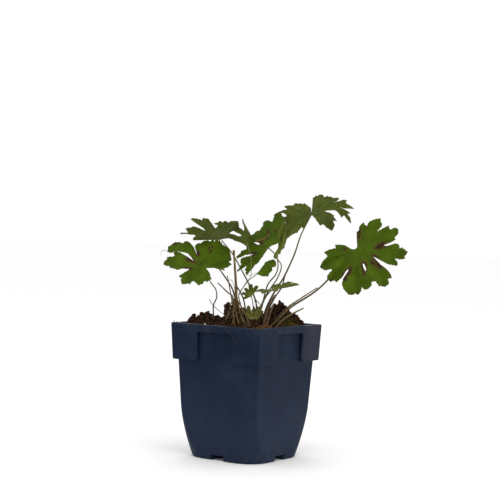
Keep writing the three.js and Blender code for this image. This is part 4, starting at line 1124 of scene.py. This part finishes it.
def bladeMarks(leaf, flat):
    # dark spots drawn out along their direction, and round dry places: each fades as a bell from its middle
    mask, dried = np.zeros(len(flat)), np.zeros(len(flat))
    for direction, length, size in leaf.get("spots", []):
        ahead, beside = alongBeside(direction)
        apart = flat - ahead * length
        gap = (apart @ ahead / blade["spotLong"]) ** 2 + (apart @ beside / blade["spotWide"]) ** 2
        mask = 1 - (1 - mask) * (1 - np.exp(-gap / size**2))
    for direction, length, size in leaf.get("dried", []):
        gap = np.linalg.norm(flat - polar([(direction, length)]), axis=1)
        dried = np.maximum(dried, np.exp(-((gap / size) ** 2)))
    return mask, dried


def makeBlade(leaf, seed):
    # two sheets over the same triangles, a blade's thickness apart, joined round the margin and the holes;
    # short hairs stand out from the margin
    rng = np.random.default_rng(seed)
    loops = bladeLoops(leaf, rng)
    flat, faces = fillLoops(loops, blade["step"] * min(1, np.ptp(loops[0]) / 60 + 0.35), rng)
    v, uv = bladeShape(leaf, flat, rng)
    normals, count = sheetNormals(v, faces), len(v)
    edges = np.concatenate([faces[:, [0, 1]], faces[:, [1, 2]], faces[:, [2, 0]]])
    ahead, back = edges[:, 0] * count + edges[:, 1], edges[:, 1] * count + edges[:, 0]
    rim = edges[~np.isin(ahead, back)]      # the edges that no other triangle runs along the other way
    mask, dried = bladeMarks(leaf, flat)
    edging = np.zeros(count)
    edging[rim] = 1
    heading, lean = math.radians(leaf["heading"]), math.radians(leaf["lean"])
    pose = np.array(Matrix.Rotation(heading, 3, "Z") @ Matrix.Rotation(lean, 3, "Y"))
    place = lambda points: points @ pose.T + np.array(leaf["at"])
    half = blade["thickness"] / 2
    upper, lower = leaf["finish"]
    joined = np.stack([rim[:, 1], rim[:, 0], rim[:, 0] + count, rim[:, 1] + count], -1)
    body = {"v": fromPlant(place(np.vstack([v + half * normals, v - half * normals]))),
            "faces": [faces, faces[:, ::-1] + count, joined], "mats": [upper, lower, upper],
            "uv": np.vstack([uv, uv]), "mask": np.tile(mask, 2), "edging": np.tile(edging, 2),
            "dried": np.tile(dried, 2)}
    picked = rim[rng.choice(len(rim), min(blade["fringe"], 2 * len(rim)))]
    start, end = v[picked[:, 0]], v[picked[:, 1]]
    roots = start + rng.uniform(0, 1, (len(picked), 1)) * (end - start)
    outward = unit(np.cross(end - start, normals[picked[:, 0]])) + 0.4 * rng.normal(size=roots.shape)
    length = rng.uniform(*blade["fringeLength"], len(roots))
    return [body, hairs(place(roots), outward @ pose.T, length, blade["hairWidth"], "leafDown")]


def downOn(path, radius, count, rng, length, mat):
    # short soft hairs standing out all round a stalk
    where = rng.uniform(0, len(path) - 1.001, count)
    k = where.astype(int)
    side, over = acrossPath(path)
    turn = rng.uniform(0, 2 * math.pi, count)[:, None]
    out = np.cos(turn) * side[k] + np.sin(turn) * over[k]
    spot = path[k] + (where - k)[:, None] * (path[k + 1] - path[k])
    wide = np.interp(where, np.arange(len(path)), np.broadcast_to(radius, len(path)))[:, None]
    away = out + 0.3 * rng.normal(size=out.shape)
    length = length * rng.uniform(0.6, 1.2, count)
    return hairs(spot + out * wide * 0.95, away, length, blade["hairWidth"], mat)


def pieceName(node):
    # leaf_upper_left to leafUpperLeft
    first, *others = node.split("_")
    return first + "".join(word.title() for word in others)


# Shares of the stalk's radius, from its foot to the blade.
leafStalk = {
    "rings": 60, "sides": 10, "ridge": 0.05, "taper": (1.12, 0.62), "foot": (1.5, 1.05), "footRings": 6,
    "joint": [1.05, 1.15, 1.2], "down": 420, "downLength": 0.5,
}


def makeLeaves(values):
    # each leaf is its blade, a stalk that tapers from a swollen foot to a small joint, and the stalk's hairs
    rings, foot, joint = values["rings"], values["footRings"], values["joint"]
    for seed, (node, leaf) in enumerate(leaves.items()):
        rng = np.random.default_rng(100 + seed)
        path = smoothPath(leaf["stalk"], rings)
        taper = leaf["radius"] * np.linspace(*values["taper"], rings)
        taper[:foot] *= np.linspace(*values["foot"], foot)
        taper[-len(joint):] *= joint
        parts = [*makeBlade(leaf, 50 + seed), tube(path, taper, values["sides"], values["ridge"], "petiole"),
                 downOn(path, taper, values["down"], rng, values["downLength"], "leafDown")]
        makePiece(leaf.get("name", pieceName(node)), parts, leafSlots, [node], sharp=60)


makeLeaves(leafStalk)
print("leaves made")


stalks = {
    "stalk_thick": {
        "radius": 1.3, "finish": "straw",
        "route": [(-4.6, -6, 103), (-5.9, -7, 114.2), (-9.3, -8, 129), (-9.7, -9, 137.3), (-10.9, -12, 152.4),
                  (-12.5, -15, 170)],
        "branch": [(0.8, -5, 103), (-0.6, -4.6, 113), (-2.9, -5, 127.3), (-6.4, -7, 135.7),
                   (-9.6, -9, 140.8)],
    },
    "stalk_left": {
        "radius": 0.7, "finish": "darkStraw",
        "route": [(-11, 2, 103), (-10.4, 2.5, 113.5), (-12.3, 3, 130.2), (-16.6, 3, 134.3),
                  (-25.2, 3, 142.2)]},
    "stalk_behind": {
        "radius": 0.8, "finish": "darkStraw",
        "route": [(-8, 9.5, 103), (-7.2, 9, 113.1), (-11.6, 8, 133.4), (-17.1, 8, 143.7), (-27, 8, 157)]},
    "stalk_stub": {
        "radius": 0.6, "finish": "straw",
        "route": [(-10, -1, 103), (-11, -1, 117), (-14.5, -1, 135.1), (-17.4, -1, 148.6)]},
    "stalk_centre": {
        "radius": 0.8, "finish": "darkStraw",
        "route": [(12, 8, 103), (13.2, 7, 110.4), (21.1, 7, 128.6), (27.6, 7, 139.4), (30.6, 6, 150.2)]},
    "stalk_right": {
        "radius": 0.7, "finish": "straw",
        "route": [(18, -1, 103), (20.6, -1, 109.5), (32, -1, 122.5), (45.6, -1, 132.6), (57.4, 0, 140.5)]},
    "stub_right": {
        "radius": 0.9, "finish": "straw",
        "route": [(15, -11, 103), (19, -11, 106.9), (25.3, -11, 111.2), (35, -12, 118.1),
                  (45.8, -13, 124.1)]},
}


deadStalk = {
    "rings": 70, "sides": 12, "ridge": 0.1, "taper": (1.1, 0.62), "swell": 0.05, "swellTurns": 26,
    "branchRings": 40, "branchShare": 0.5, "branchTaper": (1.1, 0.8),
    "splinters": 4, "splinterTurn": 1.6, "splinterLength": (0.8, 1.6), "splinterShare": 0.3,
    "splinterBend": 0.3,
}


def makeStalks(values):
    # a tapered tube whose radius swells and narrows as a sine, with a few splinters where it broke off; the
    # one with a branch has a dark cap over them
    rings, steps = values["rings"], np.linspace(0, 1, 5)[:, None]
    swell = 1 + values["swell"] * np.sin(np.linspace(0, values["swellTurns"], rings))
    for seed, (node, stalk) in enumerate(stalks.items()):
        rng = np.random.default_rng(300 + seed)
        path, wide, mat = smoothPath(stalk["route"], rings), stalk["radius"], stalk["finish"]
        radius = wide * np.linspace(*values["taper"], rings) * swell
        parts = [tube(path, radius, values["sides"], values["ridge"], mat)]
        if "branch" in stalk:
            branch = smoothPath(stalk["branch"], values["branchRings"])
            thin = values["branchShare"] * wide * np.linspace(*values["branchTaper"], len(branch))
            parts.append(tube(branch, thin, 9, 0.08, "darkStraw"))
        ahead = path[-1] - path[-4]
        ahead /= np.linalg.norm(ahead)
        side, over = acrossPath(path)
        for k in range(values["splinters"]):
            turn = values["splinterTurn"] * k
            out = math.cos(turn) * side[-1] + math.sin(turn) * over[-1]
            splinter = path[-3] + 0.5 * radius[-1] * out
            splinter = splinter + ahead * steps * rng.uniform(*values["splinterLength"])
            splinter = splinter + out * values["splinterBend"] * steps**2
            thin = values["splinterShare"] * radius[-1] * np.linspace(1, 0.3, len(steps))
            parts.append(tube(splinter, thin, 5, 0, mat))
        if "branch" in stalk:
            parts.append(tube(path[-5:] + 0.02, radius[-5:] * 1.06, 12, 0.12, "root"))
        makePiece(pieceName(node), parts, ["straw", "darkStraw", "root"], [node])


makeStalks(deadStalk)


# The knot's middle and half size, how many bases, scales and fanned straws it has, pale lumps as
# (x, y, z, size), and straws and sheaths as (radius, route).
crown = {
    "seed": 11, "at": (4, -2, 109), "size": (14, 10, 8), "rings": (22, 36), "bases": 90, "scales": 90,
    "baseSpread": (13, 9), "baseTall": (3, 11), "baseWide": (0.5, 1.15), "baseLean": 0.35,
    "scaleSpread": (13.5, 9.5), "scaleLong": (2.5, 6), "scaleWide": 0.75, "scaleLean": 0.6,
    "fan": 20, "fanTop": (-9, -7, 119), "fanFoot": ((-19, 4), (-24, -2), 106.5), "fanWide": (0.12, 0.3),
    "topShake": (7, 4, 8), "middleShake": (5, 4, 2.5),
    "flesh": [(10, -38, 107.6, 2.2), (13, -36, 108.6, 2.4), (15.5, -37, 107.4, 2), (11, -33, 109.4, 2.2),
              (14.5, -32, 109.6, 1.9), (17.5, -34, 108.2, 1.8), (8, -35, 108.2, 1.6), (18.5, -31, 109, 1.6),
              (16, -30, 110.4, 1.4)],
    "straw": [
        (0.45, [(-12, -9, 131.5), (-14.5, -13, 122.5), (-17, -18, 113.5)]),
        (0.6, [(-9, -9, 130), (-5.5, -12, 124.5), (-1.5, -16, 118.5), (2, -24, 107)]),
        (0.8, [(-8.5, -9, 128.5), (-5.5, -14, 118), (-1.5, -24, 107)]),
        (0.3, [(-7, -12, 125), (-12.5, -16, 120.5), (-17.5, -20, 115)]),
        (0.7, [(-11, -9, 130), (-9.5, -14, 119.5), (-5.5, -24, 107)]),
        (0.5, [(-10.5, -9, 128), (-11.5, -15, 120.5), (-10, -23, 109)]),
        (0.45, [(-6, -10, 127), (-3.5, -16, 116.5), (0.5, -24, 107)]),
        (0.35, [(-8, -13, 123.5), (-11, -17, 120.5), (-13, -20, 115)]),
        (0.6, [(17, -22, 107), (26, -16, 115.5), (33, -12, 122.5), (37, -10, 126)]),
        (0.65, [(22.5, -22, 107.5), (30, -18, 115), (38, -14, 120.5)]),
        (0.5, [(3.5, -26, 107), (0, -20, 115.5), (-4.5, -14, 122)]),
        (0.4, [(-13, -24, 107), (-10, -18, 116.5), (-3.5, -14, 122)]),
    ],
    "sheath": [
        (0.55, [(-19, -8, 125), (-18.7, -8, 122.5), (-17, -8, 120), (-15.5, -8, 114)]),
        (1.15, [(13, -24, 107), (15.5, -15, 118.5), (19, -10, 127.5), (22.5, -7, 134)]),
        (1.05, [(15.5, -24, 107), (18, -15, 118), (21.5, -10, 127)]),
    ],
}


def makeKnot():
    # a ball with two waves round it, stretched to the knot's size
    rows, columns = crown["rings"]
    lat, lon, rings = ballRings(rows, columns, 0.48)
    lump = 1 + 0.06 * np.sin(5 * lon + 3 * lat) + 0.05 * np.sin(9 * lon - 7 * lat)
    v = np.vstack([(rings * lump[..., None]).reshape(-1, 3), poles]) * crown["size"] + np.array(crown["at"])
    return {"v": fromPlant(v), "faces": cappedFaces(rows, columns), "mask": np.full(len(v), 0.4),
            "uv": v[:, :2] / 6}


def onKnot(angle, reach, spread, sunk, least):
    # a place on the upper half of the knot, a share of the way out at an angle, and sunk a little
    (x, y, z), (wide, deep) = crown["at"], spread
    high = crown["size"][2] * np.sqrt(np.maximum(least, 1 - reach**2)) - sunk
    return x + wide * reach * np.cos(angle), y + deep * reach * np.sin(angle), z + high


def makeBases(rng):
    # short blunt tubes that lean out, more the further they stand from the middle
    steps, narrowing = np.linspace(0, 1, 9), np.array([1.2, 1.1, 1, 0.95, 0.9, 0.85, 0.8, 0.6, 0.25])
    parts = []
    for _ in range(crown["bases"]):
        angle, reach = rng.uniform(0, 2 * math.pi), rng.uniform(0.1, 0.92)
        x, y, z = onKnot(angle, reach, crown["baseSpread"], 2, 0.05)
        tall = rng.uniform(*crown["baseTall"]) * (1 - 0.3 * reach)
        lean = crown["baseLean"] * reach
        path = np.stack([x + lean * math.cos(angle) * tall * steps, y + lean * math.sin(angle) * tall * steps,
                         z + tall * steps], -1)
        width = rng.uniform(*crown["baseWide"])
        parts.append(tube(path, width * narrowing, 7, 0.16, ("root", "straw")[rng.integers(0, 2)]))
    return parts


def makeScales(rng):
    # papery spikes all over the knot
    count, lean = crown["scales"], crown["scaleLean"]
    angle, reach = rng.uniform(0, 2 * math.pi, count), rng.uniform(0.2, 1.0, count)
    roots = np.stack(onKnot(angle, reach, crown["scaleSpread"], 0.6, 0.03), -1)
    away = np.stack([lean * np.cos(angle), lean * np.sin(angle), np.ones(count)], -1)
    return hairs(roots, away, rng.uniform(*crown["scaleLong"], count), crown["scaleWide"])


def makeFan(rng):
    # thin straws from about one place above the knot down to the mix, each with a shaken middle
    (left, right), (near, far), low = crown["fanFoot"]
    parts = []
    for _ in range(crown["fan"]):
        top = np.array(crown["fanTop"]) + rng.uniform(-1, 1, 3) * crown["topShake"]
        foot = np.array([rng.uniform(left, right), rng.uniform(near, far), low])
        middle = (top + foot) / 2 + rng.uniform(-1, 1, 3) * crown["middleShake"]
        radius = rng.uniform(*crown["fanWide"]) * np.linspace(0.6, 1.2, 22)
        mat = ("root", "straw", "sheath")[rng.integers(0, 3)]
        parts.append(tube(smoothPath([top, middle, foot], 22), radius, 6, 0.14, mat))
    return parts


def makeCrown():
    # a lumpy knot with old stalk bases, papery scales, straws and pale lumps
    rng = np.random.default_rng(crown["seed"])
    parts = [makeKnot(), *makeBases(rng), makeScales(rng)]
    taper = np.linspace(1.05, 0.65, 40) * (1 + 0.06 * np.sin(np.linspace(0, 30, 40)))
    for mat in ("straw", "sheath"):
        parts += [tube(smoothPath(route, 40), radius * taper, 9, 0.14, mat) for radius, route in crown[mat]]
    parts += makeFan(rng)
    lumps = np.array(crown["flesh"])
    parts.append(pebbles(lumps[:, :3], lumps[:, 3:] * [[1.1, 0.75, 0.65]], rng, "flesh", 0.16, fromPlant))
    makePiece("crownBases", parts, ["root", "straw", "sheath", "flesh"], ["crown"])


# Dry threads and curled leaf stalks caught among the others: finish, and (radius, route) of each.
threads = {
    "paleThreads": ("paleThread", [
        (0.28, [(-1.5, -17, 176), (0.5, -17.5, 169), (2, -18, 162.5), (2.5, -18, 152.5), (1.5, -17, 148.5),
                (-1, -16, 145), (-4, -14, 140)]),
        (0.2, [(-1.5, -16, 151), (1.5, -17, 150), (4.5, -18, 151), (8, -18.5, 152.5)]),
        (0.22, [(-18.5, -7, 147), (-16, -7, 145), (-14, -7, 145.5), (-12, -8, 142), (-10.5, -8, 136)]),
        (0.2, [(-68, -2, 168.5), (-70.5, -2, 167.8), (-72.5, -2, 166.5), (-74, -2, 163.5)])]),
    "darkThreads": ("sheath", [
        (0.3, [(-31.5, -8, 129), (-29.5, -8.5, 126), (-27, -9, 123), (-23.5, -9.5, 120), (-19.7, -10, 117.5),
               (-13, -11, 114)]),
        (0.28, [(5.5, -14, 130), (7, -14, 125.5), (6.5, -14, 120), (5, -13, 114)]),
        (0.32, [(6, -12, 130.5), (9.5, -13, 127), (11.5, -13, 124), (8.5, -13, 121), (7, -12, 114)]),
        (0.22, [(-2, -14, 143.5), (-5.5, -12, 136.5), (-8.5, -10, 130), (-9, -9, 122)])]),
}


def makeThreads():
    # thin tubes that narrow towards their ends
    taper = np.linspace(1.1, 0.7, 40)
    for name, (mat, routes) in threads.items():
        parts = [tube(smoothPath(route, 40), radius * taper, 7, 0.05) for radius, route in routes]
        makePiece(name, parts, [mat])


makeCrown()
makeThreads()
print("stalks and crown made")


# Studio: a pale floor, a large soft light above and two fills, each as (place, width, power, colour).
studio = {
    "floorSize": 6.0, "floorDrop": 0.0002, "world": 1.0, "lookAt": 0.12,
    "lamps": {"key": ((0.1, -1.0, 1.5), 1.4, 3.0, (1, 1, 1)),
              "fill": ((1.3, -0.3, 0.7), 1.0, 5.0, (1.0, 0.9, 0.8)),
              "back": ((-0.7, 1.0, 1.0), 1.0, 2.0, (1, 1, 1))},
}


def makeStudio():
    # the floor lies just under the pot, and every lamp looks at a place above the pot's foot
    size, z = studio["floorSize"], potLow.z - studio["floorDrop"]
    mesh = bpy.data.meshes.new("floor")
    corners = [(-size, -size, z), (size, -size, z), (size, size, z), (-size, size, z)]
    mesh.from_pydata(corners, [], [(0, 1, 2, 3)])
    mesh.materials.append(finishes["paleFloor"])
    floor = bpy.data.objects.new("floor", mesh)
    bpy.context.scene.collection.objects.link(floor)
    world = bpy.data.worlds.new("studioWorld")
    world.use_nodes = True
    background = world.node_tree.nodes["Background"]
    background.inputs[0].default_value = (1, 1, 1, 1)
    background.inputs[1].default_value = studio["world"]
    bpy.context.scene.world = world
    for name, (spot, width, power, tint) in studio["lamps"].items():
        light = bpy.data.lights.new(name, "AREA")
        light.energy, light.size, light.color = power, width, tint
        lamp = bpy.data.objects.new(name, light)
        lamp.location = Vector(spot) + Vector(potAxis)
        toward = Vector(potAxis) + Vector((0, 0, studio["lookAt"])) - lamp.location
        lamp.rotation_euler = toward.to_track_quat("-Z", "Y").to_euler()
        bpy.context.scene.collection.objects.link(lamp)


# The camera: degrees round and above the pot, its distance in millimetres, its roll, its focal length in the
# units in which the frame is 500 wide, the point it aims at, and where that point falls in the frame.
cameraSet = {
    "around": 36.21, "above": 1.39, "distance": 1158.5, "roll": 1.5, "focal": 1399.6, "frame": 500.0,
    "aim": (0.0, 0.0, 60.0), "aimAt": (245.52, 382.96), "sensor": 36.0,
}


def makeCamera(c):
    # it backs off from the aim point, and shifts across and down until that point falls at its place
    a, e, roll = [math.radians(c[key]) for key in ("around", "above", "roll")]
    back = Vector((math.sin(a) * math.cos(e), -math.cos(a) * math.cos(e), math.sin(e)))
    right = (-back).cross(Vector((0, 0, 1))).normalized()
    up = right.cross(-back)
    rolledRight = math.cos(roll) * right + math.sin(roll) * up
    rolledUp = -math.sin(roll) * right + math.cos(roll) * up
    x = (c["aimAt"][0] - c["frame"] / 2) / c["focal"] * c["distance"]
    y = (c["frame"] / 2 - c["aimAt"][1]) / c["focal"] * c["distance"]
    spot = Vector(c["aim"]) - (rolledRight * x + rolledUp * y - back * c["distance"])
    data = bpy.data.cameras.new("camera")
    data.sensor_width = c["sensor"]
    data.lens = c["sensor"] * c["focal"] / c["frame"]
    data.clip_start, data.clip_end = 0.01, 100
    camera = bpy.data.objects.new("camera", data)
    turn = Matrix((rolledRight, rolledUp, back)).transposed()
    camera.matrix_world = Matrix.Translation(spot / 1000 + Vector(potAxis)) @ turn.to_4x4()
    bpy.context.scene.collection.objects.link(camera)
    bpy.context.scene.camera = camera


makeStudio()
makeCamera(cameraSet)
bpy.context.scene.view_settings.view_transform = "Standard"
